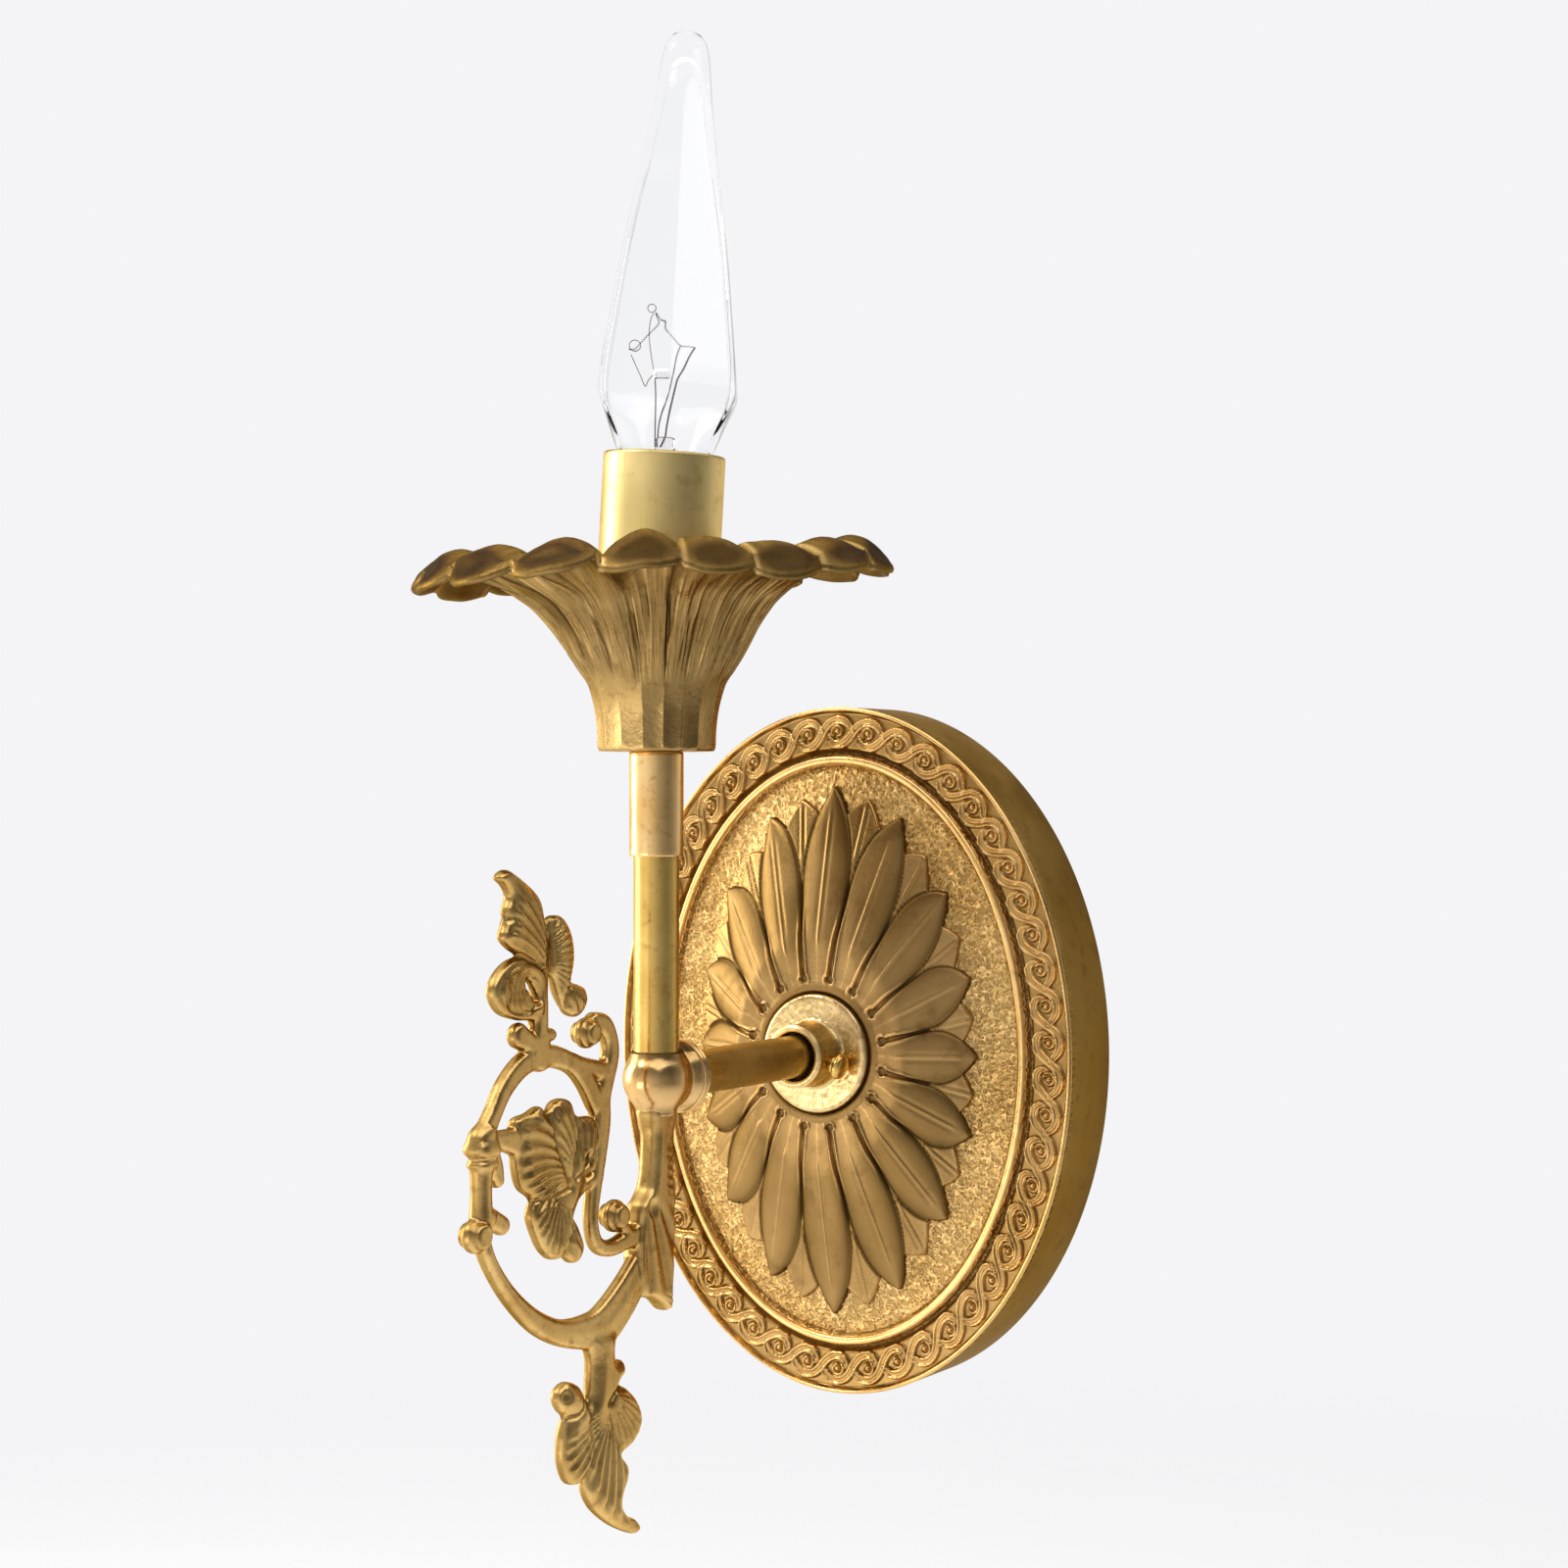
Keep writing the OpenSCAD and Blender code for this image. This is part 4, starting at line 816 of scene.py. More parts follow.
def flower_cup(columns=640):
    """The cast flower: a fluted body and sixteen petals that overlap and curl down at the rim."""
    low = by_length(CUP_LOW, 0.75)
    high = np.concatenate([by_length(CUP_HIGH[:8], 0.8)[1:], by_length(CUP_HIGH[7:], 2.0)[1:]])
    profile = np.concatenate([low, high])
    upper = np.concatenate([np.zeros(len(low)), np.ones(len(high))])[:, None]
    tangent = np.gradient(profile, axis=0)
    normal = np.stack([tangent[:, 1], -tangent[:, 0]], axis=1)
    normal /= np.linalg.norm(normal, axis=1)[:, None] + 1e-9
    normal[upper[:, 0] > 0] *= -1
    angle = np.arange(columns) / columns * 360.0 - 180.0
    middles = np.array(PETAL_AT)
    phase = np.interp(angle, np.concatenate([middles - 360, middles, middles + 360]), np.arange(48))
    index = np.floor(phase + 0.5)
    k = index.astype(int) % 16
    R = profile[:, :1] + 0 * angle
    Z = profile[:, 1:] + 0 * angle
    P = (phase - index) + 0 * R
    crest = np.interp(phase, np.arange(-1, 49), np.resize(CREST[-1:] + CREST, 50))
    valley = np.where(P > 0, np.array(VALLEY)[k], np.array(VALLEY)[k - 1])
    wild = rng.uniform(-1, 1, (4, 16))
    rim = smooth(25, 38, R)
    end = np.where(upper > 0, smooth(46.5, 50, R), smooth(40, 49.5, R))
    body = smooth(12, 22, Z) * smooth(46, 34, R)
    across = np.abs(2 * P)
    uneven = 0.5 * np.sin(2 * np.pi * P + wild[0][k]) * wild[1][k]
    flute = body * (0.5 * valley * (0.35 - across**1.8) + uneven)
    facet = 0.4 * (across**2 - 0.4) * smooth(17, 9, Z) * smooth(-0.2, 1.0, Z)
    streak, coarse = np.zeros(R.shape), np.zeros(R.shape)
    for row, (_, height) in enumerate(profile):
        at = np.stack([angle * 0.66, 0 * angle + height * 0.07, 0 * angle], axis=1)
        streak[row] = value_noise(at, 11) + 0.9 * value_noise(at * [2.1, 3.6, 1], 12)
        coarse[row] = value_noise(np.stack([angle / 21, 0 * angle + height / 9, 0 * angle], axis=1), 13)
    fine = streak * smooth(13, 19, Z) * smooth(48, 38, R)
    push = flute * (1 - 0.6 * rim) + facet + 0.3 * fine * (1 - 0.6 * rim) + 0.5 * coarse * body
    push = push * (1 - upper * (1 - 0.45 * rim))
    dent = bump(P, -0.06, 0.24) * bump(Z, 38.0, 1.7) * smooth(43.5, 46.5, R) * upper
    r = R + normal[:, :1] * push - 0.9 * dent
    z = Z + normal[:, 1:] * push - 0.5 * dent
    edge = 0.35 * smooth(-0.5, -0.47, P) * smooth(-0.2, -0.46, P) - 0.3 * smooth(0.25, 0.5, P)
    z = z + rim * (crest - 1.2 * valley * across**1.8 * (1 - 0.2 * end) + edge)
    z = z + end * ((1.4 + 0.9 * valley) * np.abs(2 * (P + 0.06)) ** 2.4 + 0.5 * wild[2][k])
    r = r - end * (2.2 * across**2.2 + 0.7 * (1 + wild[3][k]) * np.abs(P))
    lip = np.where(upper > 0, smooth(35.3, 34.7, Z) * smooth(49, 49.8, R), smooth(48.2, 49.6, R))
    r = r + lip * 0.35
    z = z + smooth(8, 36, Z)
    right, near = r * np.sin(np.radians(angle)), r * np.cos(np.radians(angle))
    bend = smooth(6, 36, Z)
    z = z + bend * (right * math.tan(LEAN_RIGHT) - near * math.tan(LEAN_BACK))
    right = right - bend * (z - 20) * math.sin(LEAN_RIGHT)
    skin = facing(np.stack([right.ravel(), z.ravel() + CUP_Z, near.ravel()], axis=1))
    # Tone: lighter down the middle of each flute and darker in the valleys between them, painted shade, with
    # random patches and streaks.
    tone = 0.47 + 0.2 * (0.4 - across**1.6) * body + 0.22 * coarse * body + 0.12 * fine
    tone = tone + 0.5 * smooth(0.6, 1.3, streak) * smooth(13, 19, Z) * body
    # Darker over the rim, with painted shade on the petals' upper faces, deepest in their middles, and a
    # faint painted highlight on the lip.
    face = upper * smooth(34.3, 35.2, Z) * smooth(43, 47, R)
    face = face * (0.75 + 0.25 * wild[0][k])
    middle = smooth(1.05, 0.2, np.hypot(across, (Z - 37.6) / 3.4))
    tone = tone - 0.25 * rim - face * (0.08 + 0.44 * middle) + 0.06 * lip
    # Lighter towards the foot; a painted highlight along each petal's left edge, and painted shade on the
    # right of each flute.
    tone = (tone + 0.34 * smooth(13, 4, Z) + 0.4 * rim * bump(P, -0.46, 0.035)
            - 0.14 * smooth(0.4, 0.5, P) * body)
    piece = add_mesh("flower_cup", skin, grid_faces(len(profile), columns))
    set_tone(piece, tone.ravel())
    return piece


# ------------------------------------------------------------------ bulb, stem and small parts

LEAN = math.radians(3.7)  # of the bulb, the socket and its cover
SOCKET_Z = 98  # height of the point that they lean about


def leaned(points):
    """Points about the bulb's own upright axis, tipped with the socket towards +X."""
    p = np.array(points, float)
    x, z = p[:, 0], p[:, 2] - SOCKET_Z
    side = x * math.cos(LEAN) + z * math.sin(LEAN)
    up = SOCKET_Z + z * math.cos(LEAN) - x * math.sin(LEAN)
    return np.stack([side, p[:, 1] - REACH, up], axis=1)


def facing(points):
    """[to the camera's right, up, towards it] from the stem's axis to CAD millimetres."""
    p = np.array(points, float)
    x = p[:, 0] * math.cos(VIEW) + p[:, 2] * math.sin(VIEW)
    y = p[:, 0] * math.sin(VIEW) - p[:, 2] * math.cos(VIEW) - REACH
    return np.stack([x, y, p[:, 1]], axis=1)


def turned(profile, columns, shape=None):
    """A closed turned skin about Z: rows of (radius, height), radius scaled by shape(angle, height)."""
    profile = np.asarray(profile, float)
    a = np.arange(columns) / columns * 2 * np.pi
    r = profile[:, :1] * (1 if shape is None else shape(a[None, :], profile[:, 1:]))
    z = profile[:, 1:] + 0 * a
    verts = np.stack([r * np.cos(a), r * np.sin(a), z + 0 * r], axis=2).reshape(-1, 3)
    return verts, grid_faces(len(profile), columns)


def out_of_wall(verts):
    """Turned about Z to turned about the arm's axis, with +Z out of the wall."""
    return np.stack([verts[:, 0], -verts[:, 2], verts[:, 1]], axis=1)


def bulb_facets(a, z):
    """A softly rounded hexagon, with one edge towards the camera, fading to a circle at neck and tip."""
    side = a - (VIEW - math.pi / 2) - math.pi / 6
    sharp = 60
    hexagon = sum(np.maximum(np.cos(side - k * math.pi / 3), 0) ** sharp for k in range(6)) ** (-1 / sharp)
    share = smooth(129.5, 140, z) * (1 - 0.55 * smooth(196, 214, z))
    return 1 + (hexagon - 1) * share


def bulb_skin():
    """The glass, outside and inside, as (radius, height) lines turned into six soft facets."""
    outer = [(0.01, 113), (4.6, 113), (5.2, 113.3), (5.45, 114), (5.45, 120.4), (5.7, 121.2), (7.4, 124.6),
             (9.3, 128.4), (9.75, 129.6), (10.9, 132.4), (12.4, 136.4), (13.75, 140.6), (14.15, 142),
             (14.22, 142.8), (14.1, 144.2), (13.65, 148.5), (13.0, 154), (12.25, 160), (10.95, 170),
             (9.35, 180), (7.8, 190), (6.7, 197), (6.0, 202), (5.55, 206), (5.1, 210), (4.7, 212.4),
             (4.1, 214.4), (3.1, 215.8), (1.8, 216.5), (0.01, 216.7)]
    inner = [(0.01, 211.2), (1.2, 210.9), (2.2, 209.8), (2.9, 207.6), (3.6, 204.0), (4.6, 198), (5.9, 191),
             (7.6, 183), (9.6, 172.5), (11.0, 162), (12.0, 154), (12.7, 148), (12.85, 144), (12.7, 141.4),
             (12.2, 139), (10.9, 135), (9.5, 131), (8.7, 129.2), (7.2, 126.2), (5.2, 122.4), (4.62, 121),
             (4.6, 114.4), (4.2, 114), (0.01, 114)]
    profile = np.concatenate([by_length(outer[:9], 1.0), by_length(outer[8:], 1.0)[1:],
                              by_length(inner, 1.3)])
    verts, faces = turned(profile, 168, bulb_facets)
    wave = value_noise(verts / 7.0, 21)
    verts[:, :2] *= (1 + 0.004 * wave)[:, None]
    return add_mesh("bulb_skin", leaned(verts), faces)


def across_path(p):
    """Two unit directions square to a path at each of its points."""
    t = np.gradient(p, axis=0)
    t /= np.linalg.norm(t, axis=1)[:, None]
    a = np.cross(t, [0.31, 0.77, 0.55])  # any direction that no wire here follows
    a /= np.linalg.norm(a, axis=1)[:, None]
    return a, np.cross(t, a)


def tube_mesh(paths, sides=10):
    """One mesh of round wires; each path is (points, radius), and its ends close to a point."""
    verts, faces, start = [], [], 0
    for points, radius in paths:
        p = curve(points, 5)
        p, a, b = [np.concatenate([v[:1], v, v[-1:]]) for v in (p, *across_path(p))]
        radii = np.full((len(p), 1, 1), float(radius))
        radii[[0, -1]] = 0.001
        k = (np.arange(sides) / sides * 2 * np.pi)[None, :, None]
        ring = p[:, None] + radii * (np.cos(k) * a[:, None] + np.sin(k) * b[:, None])
        faces.append(grid_faces(len(p), sides, wrap_rows=False)[:, ::-1] + start)
        verts.append(ring.reshape(-1, 3))
        start += ring.shape[0] * sides
    return np.concatenate(verts), np.concatenate(faces)


def ring_path(w, z, r, depth, start=-60, turns=1.15):
    """A loop in a support wire that runs a little past a full turn."""
    k = np.linspace(0, turns * 2 * np.pi, 15) + math.radians(start)
    return [(w + r * math.cos(t), z + r * math.sin(t), depth + 0.25 * t / 6) for t in k]


def bulb_wires():
    """The leads, the supports and their loops, as (right, up, towards the photograph's camera)."""
    lead = [(0.9, 131, 0), (1.91, 133.4, 0.2), (2.27, 135.9, 0.4), (3.31, 140.9, 0.8), (4.23, 144.4, 1.2),
            (5.58, 146.7, 1.6), (6.98, 149.7, 1.8), (8.08, 151.3, 2.0)]
    mid = [(0.32, 131, -0.4), (0.32, 133.4, -0.5), (0.74, 136.8, -0.6), (1.91, 140.9, -1), (3.31, 146, -1.6),
           (4.11, 150.2, -2), (4.9, 152.4, -2.2)]
    left = [(-0.2, 131, 1), (-0.17, 133.4, 1), (-0.05, 137.4, 1.2), (0.07, 141.7, 1.3), (0.01, 144.9, 1.4)]
    top = [(-0.3, 146.4, 1.4), (-0.91, 150.2, 1.4), (-1.27, 153.9, 1.2), (-1.03, 156.9, 1),
           (-0.4, 158.6, 0.8)]
    arm = [(0.2, 145.6, 1.4), (-0.54, 145.3, 1.6), (-1.4, 144.4, 1.9), (-2.13, 143.6, 2.1), (-3.35, 146, 2.4),
           (-4.94, 149.7, 2.6)]
    paths = [(facing(np.array(line) + [0, 0, 1.7]), radius)
             for line, radius in ((lead, 0.2), (mid, 0.15), (left, 0.15), (top, 0.09), (arm, 0.09))]
    loops = ring_path(-0.72, 159.6, 0.85, 2.5), ring_path(-4.15, 151.6, 1.15, 4.2, -120)
    return tube_mesh(paths + [(facing(loop), 0.09) for loop in loops])


def bulb_coil():
    """The filament, a fine coil hung between the supports."""
    line = [(-5.37, 150.8, 4.6), (-4.21, 150.8, 4.6), (-2.93, 152.2, 4), (-1.58, 153.8, 3.4),
            (-0.36, 155.1, 3), (0.74, 156.5, 2.6), (0.32, 157.9, 2.5), (0.2, 158.6, 2.2),
            (1.17, 157.3, 1.8), (1.91, 157.1, 1.2), (1.95, 155.6, 0.6), (3.31, 154, 0), (4.9, 152.4, -0.5),
            (6.43, 151.9, 1.6), (8.08, 151.3, 3.7)]
    p = curve(facing(line), 16)
    a, b = across_path(p)
    k = np.arange(len(p)) * 1.35
    return tube_mesh([(p + 0.13 * (np.cos(k)[:, None] * a + np.sin(k)[:, None] * b), 0.07)], 6)


def press_block():
    """The glass foot with its pinched press, and the little bead that carries the loops."""
    profile = [(0.01, 115.1), (3.9, 115.1), (4.25, 115.6), (4.3, 117.2), (3.6, 121.6), (2.8, 126.4),
               (2.3, 129.2), (2.0, 131.2), (1.95, 132.8), (1.6, 133.3), (0.01, 133.4)]

    def squeeze(a, z):
        return 1 - 0.42 * smooth(124, 131, z) * swell(2 * (a - VIEW))

    verts, faces = turned(by_length(profile, 0.5), 48, squeeze)
    verts[:, :2] += 0.14 * value_noise(verts * 1.3, 31)[:, None] * smooth(126, 131, verts[:, 2:])
    bead, more = turned([(0.01, 144.7), (1.0, 144.75), (1.1, 145.0), (1.1, 146.4), (1.0, 146.65),
                         (0.01, 146.7)], 24)
    bead = facing(np.stack([bead[:, 0] * 1.5 + 1.17, bead[:, 2], bead[:, 1] + 2.9], axis=1))
    return np.concatenate([leaned(verts), bead]), np.concatenate([faces, more + len(verts)])


def slip_disc():
    """The disc and collar that slide on the arm and hide the hole in the plate."""
    profile = [(4.9, 0.1), (13.0, 0.1), (13.45, 0.25), (13.6, 0.7), (13.55, 1.3), (13.3, 1.7), (12.8, 1.95),
               (12.0, 2.05), (8.6, 2.15), (7.9, 2.35), (7.45, 2.8), (7.25, 3.5), (7.15, 4.4), (7.15, 10.4),
               (7.1, 10.8), (6.9, 11.1), (6.5, 11.35), (6.1, 11.4), (5.75, 11.2), (5.5, 10.8), (5.4, 9.8),
               (5.4, 8.6), (4.9, 8.5)]
    verts, faces = turned(by_length(profile, 0.28), 256)
    n = value_noise(verts / 1.1, 41) + 0.6 * value_noise(verts / 0.45, 42)
    verts[:, 2] += 0.06 * n * smooth(3.5, 2.0, verts[:, 2]) * (verts[:, 2] > 0.5)
    verts[:, 2] += 29.45
    piece = add_mesh("slip_disc", out_of_wall(verts), faces)
    # The tone: random mottling, painted shade over the collar and in the bore, and a painted highlight round
    # the collar's mouth.
    painted_bore_shade = smooth(5.6, 5.2, np.hypot(verts[:, 0], verts[:, 1]))
    height = verts[:, 2]
    set_tone(piece, 0.76 + 0.1 * n - 0.35 * smooth(31.6, 33.0, height) + 0.4 * smooth(39.6, 40.4, height)
             - 0.8 * painted_bore_shade)
    return piece


def thumb_knob():
    """The screw in the collar, with a small ring under its domed head."""
    head = [(0.01, 5.15), (1.1, 5.15), (1.42, 5.5), (1.42, 7.2), (1.7, 7.4), (1.95, 7.8), (1.9, 8.2),
            (1.75, 8.4), (2.3, 8.55), (2.75, 8.85), (2.92, 9.3), (2.85, 9.75), (2.55, 10.2), (2.0, 10.5),
            (1.3, 10.68), (0.7, 10.78), (0.01, 10.8)]
    verts, faces = turned(by_length(head, 0.16), 96)
    tilt = math.radians(14)
    x = verts[:, 2] * math.cos(tilt) + verts[:, 0] * math.sin(tilt)
    z = -verts[:, 2] * math.sin(tilt) + verts[:, 0] * math.cos(tilt)
    return add_mesh("thumb_knob", np.stack([x, verts[:, 1] - 35.3, z], axis=1), faces)


def hub_ball(step=0.24):
    """The ball on the end of the arm: a collar behind, a seat for the stem above, a boss below."""
    x = np.arange(-7.6, 7.7, step)
    X, Y, Z = np.meshgrid(x, x, x, indexing="ij")
    ball = np.sqrt(X**2 + Y**2 + Z**2) - 7.05
    seat = np.maximum(np.hypot(X, Y) - 5.3, np.maximum(-Z, Z - 5.75))
    bell = np.maximum(np.hypot(X, Z) - 6.3 - 1.2 * smooth(3.6, 6.9, Y), np.maximum(2.0 - Y, Y - 7.0))
    neck = np.maximum(np.hypot(X, Y) - 4.25, np.maximum(Z + 1, -7.4 - Z))
    solid = -soft_max(soft_max(-ball, -seat, 0.9), soft_max(-bell, -neck, 0.5), 1.2)
    solid = np.maximum(solid, -np.maximum(np.hypot(X, Y) - 4.86, 2.0 - Z))
    solid = np.maximum(solid, -np.maximum(np.hypot(X, Z) - 4.86, 3.0 - Y))
    verts, quads = surface_nets(solid, np.array([x[0]] * 3), step)
    piece = add_mesh("hub_ball", verts + [0, -REACH, 0], quads)
    x, y, z = verts.T
    # Painted shade: a dark ring on the seat round the stem, the top of the ball darker under the coupling
    # sleeve, and darker creases where the ball meets its rear collar and the boss below.
    tone = 0.7 - 0.6 * smooth(5.25, 5.6, z) - 0.3 * bump(y, 3.3, 0.9) * smooth(5, 6, np.hypot(x, z))
    set_tone(piece, tone - 0.3 * smooth(3.2, 4.9, z) - 0.25 * bump(z, -6.0, 0.8))
    return piece


def check_rings():
    """Two rounded rims with a groove between, where the arm enters the ball."""
    profile = [(4.86, 85.05), (5.3, 85.05), (5.5, 85.25), (5.6, 86.0), (6.0, 86.35), (6.9, 86.45),
               (7.5, 86.65), (7.75, 87.05), (7.65, 87.4), (7.35, 87.6), (7.35, 87.75), (7.65, 87.95),
               (7.85, 88.3), (7.75, 88.7), (7.4, 88.92), (6.8, 89.0), (4.86, 89.0)]
    verts, faces = turned(by_length(profile, 0.25), 160)
    piece = add_mesh("check_rims", out_of_wall(verts), faces)
    around = np.hypot(verts[:, 0], verts[:, 1])
    # Painted shade in the groove between the rims and at their foot, where they meet the ball.
    groove = bump(verts[:, 2], 87.68, 0.2) * smooth(7.0, 7.3, around)
    set_tone(piece, 0.75 - 0.6 * groove - 0.5 * smooth(86.6, 86.1, verts[:, 2]))
    return piece


def cover_tube():
    """The candle cover: a thin straight tube with a rolled upper edge."""
    r = 12.7  # 1 inch across
    profile = [(r - 0.85, 86.1), (r - 0.1, 86.1), (r, 86.2)] + [(r, z) for z in np.linspace(88, 128.4, 24)]
    rolled = ((0.02, 128.9), (0.12, 129.3), (0.35, 129.5), (0.6, 129.45), (0.8, 129.2), (0.88, 128.6))
    profile += [(r - inward, z) for inward, z in rolled]
    profile += [(r - 0.88, z) for z in np.linspace(126, 88, 8)]
    verts, faces = turned(profile, 200)
    a = np.arctan2(verts[:, 1], verts[:, 0])
    verts[:, :2] *= (1 + 0.0009 * np.sin(3 * a + verts[:, 2] / 22)
                     + 0.0006 * np.sin(7 * a - verts[:, 2] / 13))[:, None]
    piece = add_mesh("candle_cover", leaned(verts), faces)
    # Painted shade on the rolled top edge and inside the tube; random mottling.
    rim = smooth(129.0, 129.4, verts[:, 2]) + smooth(12.2, 11.95, np.hypot(verts[:, 0], verts[:, 1]))
    set_tone(piece, 0.7 + 0.08 * value_noise(verts / 7, 51) - 0.5 * np.minimum(rim, 1))
    return piece


def plain_tube(name, outer, inner, low, high, upright=True):
    """A straight tube with eased ends, on the stem or out along the arm."""
    profile = [(inner, low), (outer - 0.25, low), (outer - 0.07, low + 0.08), (outer, low + 0.3)]
    profile += [(outer, z) for z in np.linspace(low + 1, high - 1, 24)]
    profile += [(outer, high - 0.3), (outer - 0.07, high - 0.08), (outer - 0.25, high), (inner, high)]
    verts, faces = turned(profile, 128)
    return add_mesh(name, verts + [0, -REACH, 0] if upright else out_of_wall(verts), faces)


# ------------------------------------------------------------------ the object

CAST = metal("cast_brass", srgb(220, 180, 116), srgb(198, 157, 93), srgb(164, 129, 78),
             (0.38, 0.52), 1100, 38, 0.00005, cavity=True)
GROUND = metal("pebbled_brass", srgb(234, 197, 132), srgb(216, 174, 106), srgb(186, 147, 88),
               (0.46, 0.58), 1100, 38, 0.00004, cavity=True, pebble=0.0003)
PETAL = metal("petal_brass", srgb(196, 158, 102), srgb(160, 126, 74), srgb(140, 108, 64),
              (0.42, 0.56), 1300, 24, 0.00008, cavity=True)
SCROLL = metal("scroll_brass", srgb(226, 188, 118), srgb(188, 148, 84), srgb(148, 110, 56),
               (0.36, 0.5), 700, 60, 0.00008, cavity=True)
TUBE = metal("tube_brass", srgb(230, 194, 112), srgb(214, 172, 90), srgb(186, 144, 74),
             (0.22, 0.32), 1500, 60, 0.00002, (1, 1, 0.06))
ARM = metal("arm_brass", srgb(200, 176, 112), srgb(184, 156, 92), srgb(160, 130, 74),
            (0.26, 0.36), 1500, 60, 0.00002, (1, 0.06, 1))
SLEEVE = metal("sleeve_brass", srgb(248, 212, 150), srgb(238, 192, 124), srgb(206, 152, 88),
               (0.16, 0.28), 1200, 60, 0.00002, (1, 1, 0.06))
RING = metal("ring_brass", srgb(230, 202, 146), srgb(216, 184, 122), srgb(170, 120, 64),
             (0.34, 0.5), 1300, 90, 0.00007, cavity=True, speck=0.55)
ROSE = metal("rose_brass", srgb(236, 198, 138), srgb(218, 176, 114), srgb(184, 144, 90),
             (0.32, 0.46), 900, 70, 0.00003, cavity=True)
BRONZE = metal("antique_bronze", srgb(186, 154, 98), srgb(156, 124, 74), srgb(134, 104, 62),
               (0.38, 0.54), 900, 60, 0.00014, cavity=True)
COVER = metal("cover_brass", srgb(244, 218, 152), srgb(234, 206, 132), srgb(208, 176, 106),
              (0.42, 0.54), 1600, 40, 0.00003, (1, 1, 0.03), cavity=True)
HARDWARE = metal("hardware_brass", srgb(218, 182, 112), srgb(192, 150, 84), srgb(150, 116, 66),
                 (0.22, 0.38), 800, 80)
ZINC = metal("zinc_steel", srgb(200, 202, 204), srgb(172, 176, 180), srgb(140, 142, 144),
             (0.28, 0.45), 900, 90, 0.00005)
GREEN = metal("green_steel", srgb(64, 128, 84), srgb(44, 98, 62), srgb(90, 110, 90), (0.3, 0.45), 900, 120)
COPPER = metal("bare_copper", srgb(226, 140, 100), srgb(190, 104, 70), srgb(130, 78, 56), (0.22, 0.38),
               1200, 150)
SOLDER = metal("solder", srgb(196, 198, 200), srgb(166, 168, 172), srgb(130, 130, 132), (0.35, 0.5), 900, 300)
TUNGSTEN = metal("tungsten", srgb(92, 92, 96), srgb(70, 70, 74), srgb(54, 54, 58), (0.4, 0.5), 2000, 400)
NICKEL = metal("lead_wire", srgb(120, 116, 112), srgb(84, 82, 80), srgb(60, 56, 54), (0.35, 0.5), 2000, 700)


PHENOLIC = dull("phenolic", srgb(34, 28, 26), srgb(52, 42, 36), 0.38, 0.2)
BLACK = dull("black_lead", srgb(26, 26, 27), srgb(44, 44, 46), 0.42, 0.1, 900)
WHITE = dull("white_lead", srgb(226, 224, 214), srgb(204, 200, 186), 0.42, 0.1, 900)


GLASS = glass("clear_glass", (0.99, 0.993, 0.995), 0.02, 0.00003, 1.18, 0.72)
PRESS = glass("press_glass", (0.9, 0.89, 0.9), 0.06, 0.0004, 1.46, 0.8)

finish_piece(plate_border(), "wall_plate", ["backplate"], CAST)
finish_piece(plate_ground(), "wall_plate", ["backplate"], GROUND)
finish_piece(plate_petals(), "wall_plate", ["backplate"], PETAL)
finish_piece(scroll_bracket(), "fixture", ["scroll_bracket"], SCROLL)
finish_piece(flower_cup(), "fixture", ["candle_cup"], BRONZE)
finish_piece(bulb_skin(), "bulb", ["bulb_glass"], GLASS)
finish_piece(add_mesh("bulb_press", *press_block()), "bulb", ["bulb_stem"], PRESS)
finish_piece(add_mesh("bulb_wires", *bulb_wires()), "bulb", ["bulb_leads"], NICKEL)
finish_piece(add_mesh("bulb_coil", *bulb_coil()), "bulb", ["bulb_filament"], TUNGSTEN)
finish_piece(slip_disc(), "collar", ["slip_ring"], RING)
finish_piece(thumb_knob(), "collar_screw", ["thumb_screw"], TUBE)
finish_piece(check_rings(), "fixture", ["check_ring"], ROSE)
finish_piece(hub_ball(), "fixture", ["hub"], ROSE)
finish_piece(cover_tube(), "cover", ["socket_cover"], COVER)
finish_piece(plain_tube("stem_skin", TUBE_R, BORE_R, 4.3, 67.6), "fixture", ["stem_tube"], TUBE)
finish_piece(plain_tube("coupling_skin", 5.65, 4.8, 46.2, 67.9), "fixture", ["coupling_sleeve"],
             SLEEVE)
finish_piece(plain_tube("arm_skin", TUBE_R, BORE_R, 2.0, 92.5, False), "fixture", ["arm_tube"],
             ARM)

NODE_LOOKS = {
    HARDWARE: ["arm_nuts", "nipple_nuts", "cup_nipple", "socket_screw_shell", "centre_contact", "shell_rivet",
               "bulb_base_shell"],
    ZINC: ["crossbar", "lock_washer", "socket_bracket", "scroll_stud"],
    GREEN: ["ground_screw"],
    PHENOLIC: ["socket_insulator", "bulb_base_insulator"],
    BLACK: ["hot_wire"],
    WHITE: ["neutral_wire"],
    COPPER: ["ground_wire"],
    SOLDER: ["bulb_tip_contact"],
}
for material, names in NODE_LOOKS.items():
    for name in names:
        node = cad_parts[name]
        if not node.data.materials:
            node.data.materials.append(material)
        for k in range(len(node.data.materials)):
            node.data.materials[k] = material


# ------------------------------------------------------------------ studio

FLOOR_Z = -0.34
FLOOR_FADE = (0.35, 1.3)  # metres from its middle: solid inside the first, gone beyond the second
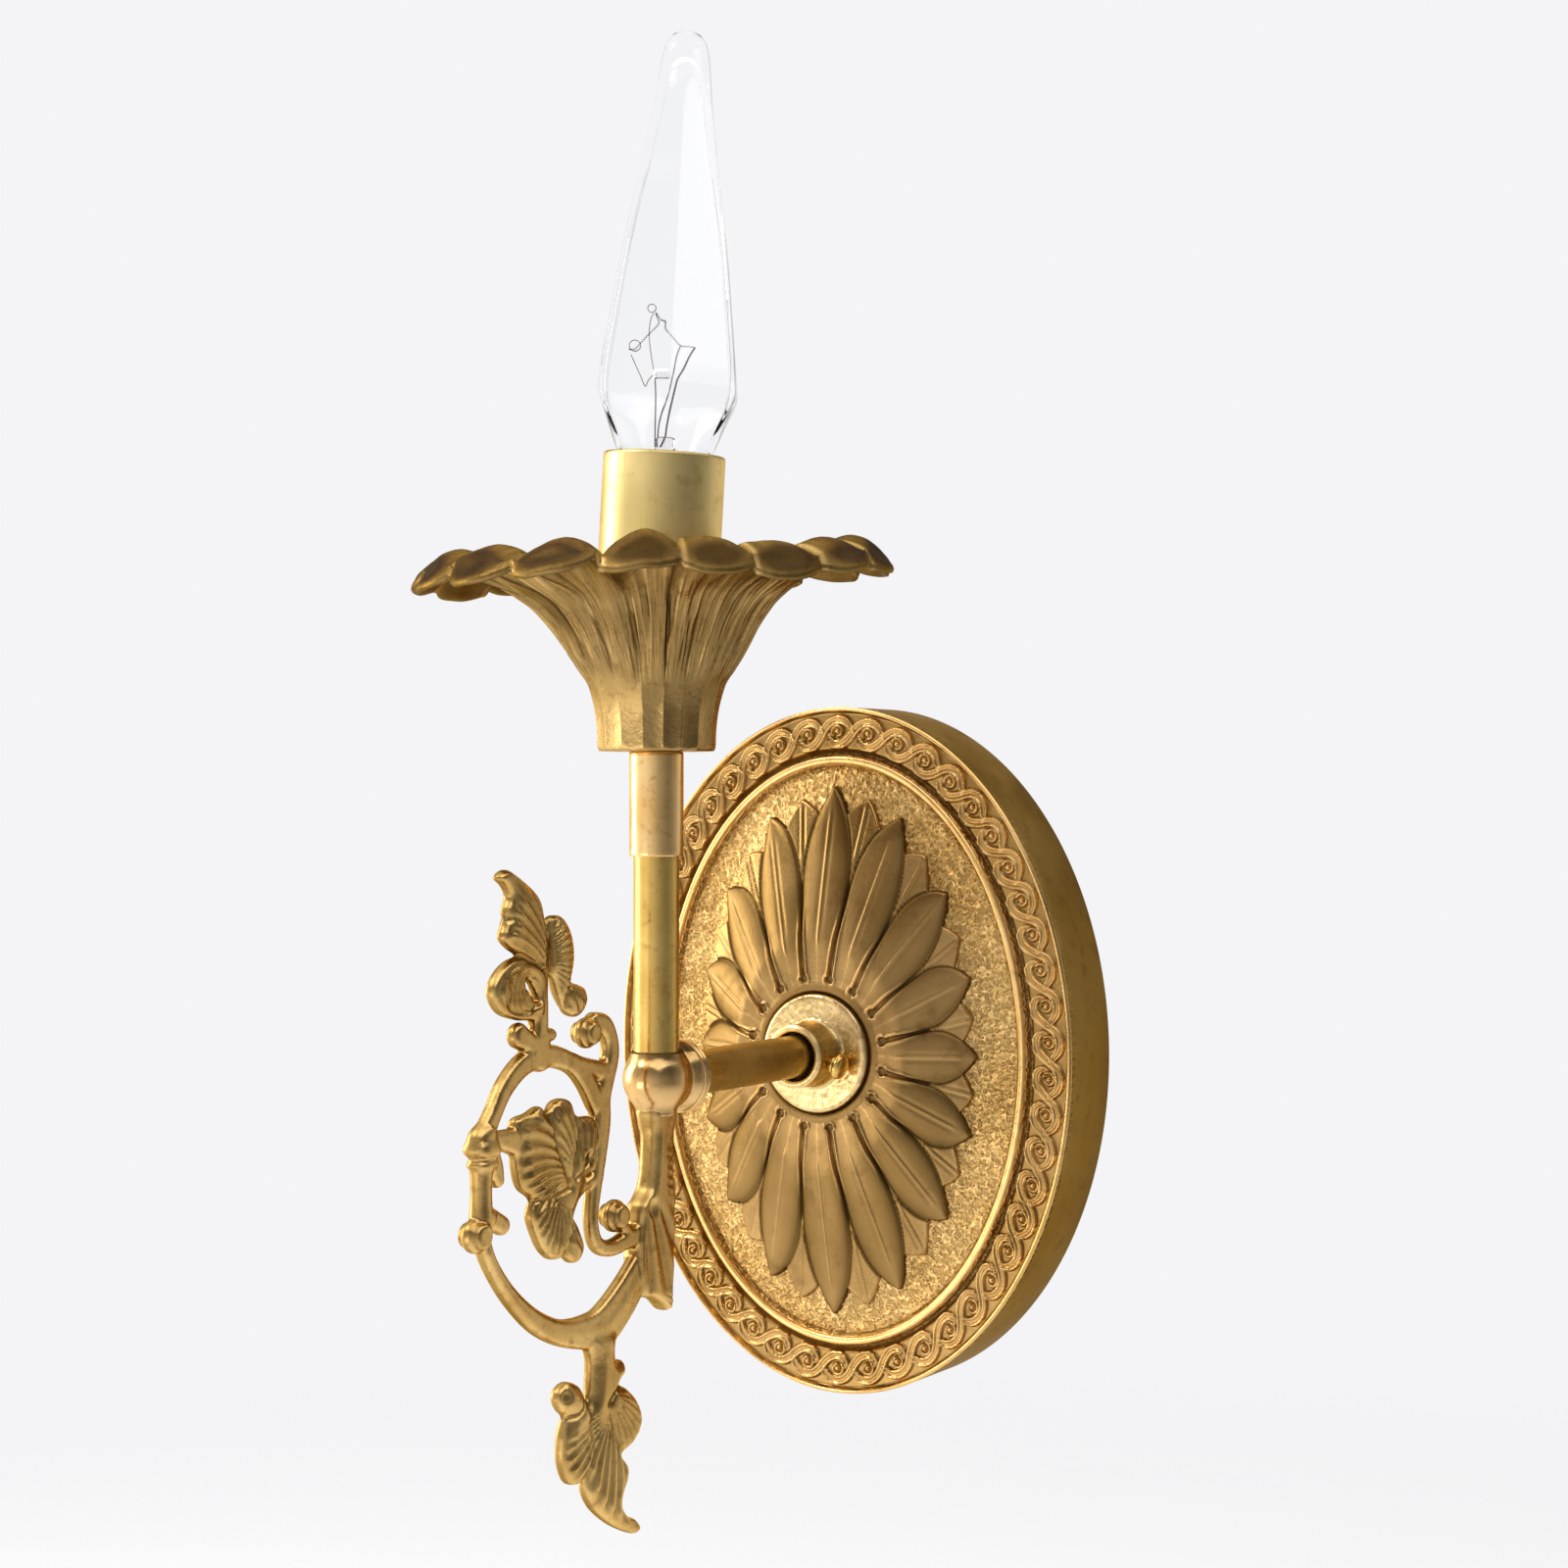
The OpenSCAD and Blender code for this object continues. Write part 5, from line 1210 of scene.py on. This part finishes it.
# How bright the room is in reflections, by degrees round from the photograph's azimuth, and by the
# height of the direction, from straight down at 0 to straight up at 1. It stays put in other views.
ROOM_BY_TURN = [(-180, 0.95), (-150, 1.05), (-120, 1.4), (-92, 1.4), (-66, 1.02), (-40, 1.0), (-10, 0.68),
                (12, 0.42), (34, 0.28), (58, 0.2), (90, 0.36), (118, 0.8), (150, 0.92), (180, 0.95)]
ROOM_BY_RISE = [(0.0, 1.1), (0.44, 1.05), (0.52, 0.95), (0.6, 0.72), (0.72, 0.42), (0.86, 0.25), (1.0, 0.2)]


def pale_floor():
    """A pale round floor that fades out at its edge."""
    around = np.arange(96) / 96 * 2 * np.pi
    rows = np.array([0.001, 0.3, 0.6, 0.9, 1.2, 1.5])[:, None]
    points = np.stack([rows * np.cos(around), rows * np.sin(around) - 0.1,
                       FLOOR_Z + 0 * rows + 0 * around], axis=2)
    mesh = bpy.data.meshes.new("floor")
    mesh.from_pydata(points.reshape(-1, 3).tolist(), [], grid_faces(len(rows), 96, wrap_rows=False).tolist())
    floor = bpy.data.objects.new("floor", mesh)
    bpy.context.scene.collection.objects.link(floor)
    material, tree, shader = principled("floor_paper", base_color=(0.86, 0.86, 0.87), roughness=0.9)
    away = tree.sums("LENGTH", tree.node("TexCoord").outputs["Object"], kind="VectorMath")
    tree.put(shader["Alpha"], tree.remap(away, *FLOOR_FADE, 1.0, 0.0))
    mesh.materials.append(material)


def studio_world():
    """Pale to the eye and through glass; in reflections bright on the left and dim on the right."""
    world = bpy.data.worlds.new("studio")
    bpy.context.scene.world = world
    tree = Tree(world)
    direction = tree.node("TexCoord").outputs["Generated"]

    def along(axis):
        return tree.sums("DOT_PRODUCT", direction, axis, kind="VectorMath")

    to_right, to_camera = (math.cos(VIEW), math.sin(VIEW), 0), (math.sin(VIEW), -math.cos(VIEW), 0)
    angle = tree.sums("ARCTAN2", along(to_right), along(to_camera))
    by_turn = tree.ramp(tree.remap(angle, -math.pi, math.pi), [(a / 360 + 0.5, v) for a, v in ROOM_BY_TURN])
    by_rise = tree.ramp(tree.remap(along((0, 0, 1)), -1.0, 1.0), ROOM_BY_RISE)
    room = tree.mix(1.0, by_turn, by_rise, "MULTIPLY")
    room = tree.mix(1.0, room, (1.0, 0.985, 0.95), "MULTIPLY")
    path = tree.node("LightPath").outputs
    seen = tree.sums("MAXIMUM", path["Is Camera Ray"], path["Is Transmission Ray"])
    tree.put(tree.nodes["Background"].inputs["Color"], tree.mix(seen, room, srgb(244, 244, 246)))


def aim(thing, place, direction):
    """Puts a lamp or the camera at a place, looking along a direction."""
    bpy.context.scene.collection.objects.link(thing)
    thing.location = place
    thing.rotation_mode = "QUATERNION"
    thing.rotation_quaternion = direction.to_track_quat("-Z", "Y")


def soft_box(name, place, target, size, power, colour=(1, 1, 1)):
    light = bpy.data.lights.new(name, "AREA")
    light.shape = "RECTANGLE"
    light.size, light.size_y = size
    light.energy = power
    light.color = colour
    lamp = bpy.data.objects.new(name, light)
    lamp.visible_camera = False
    aim(lamp, place, Vector(target) - Vector(place))
    return lamp


def photo_camera():
    """The photograph's viewpoint, fitted to it."""
    camera = bpy.data.objects.new("camera", bpy.data.cameras.new("camera"))
    camera.data.lens = 62.8
    camera.data.sensor_width = 36.0
    camera.data.dof.use_dof = False
    camera.data.clip_start = 0.01
    azimuth, elevation = 0.5395, -0.0044
    level = math.cos(elevation)
    back = Vector((math.sin(azimuth) * level, -math.cos(azimuth) * level, math.sin(elevation)))
    aim(camera, (0.3147, -0.57, 0.0587), -back)
    bpy.context.scene.camera = camera


pale_floor()
studio_world()
soft_box("key_left", (-1.1, -0.35, 0.25), (0, -0.08, 0.05), (0.5, 0.8), 6, (1.0, 0.98, 0.95))
soft_box("low_fill", (-0.25, -0.9, -0.28), (0, -0.08, 0.03), (0.6, 0.25), 1.5, (1.0, 0.97, 0.94))
soft_box("floor_wash", (0, -0.1, 1.6), (0, -0.1, -0.3), (3.4, 3.4), 58)
soft_box("edge_light", (-0.62, -0.75, 0.95), (0, -0.03, 0.0), (0.2, 0.2), 5, (1.0, 0.98, 0.95))
# A box that lights only the bulb's glass and puts the pale streak on it.
streak = soft_box("glass_streak", (0.757, -0.083, 0.44), (0, -0.095, 0.17), (0.22, 0.42), 1.7)
only_glass = bpy.data.collections.new("only_glass")
only_glass.objects.link(bpy.data.objects["bulb_skin"])
streak.light_linking.receiver_collection = only_glass
photo_camera()
bpy.context.scene.view_settings.view_transform = "Standard"
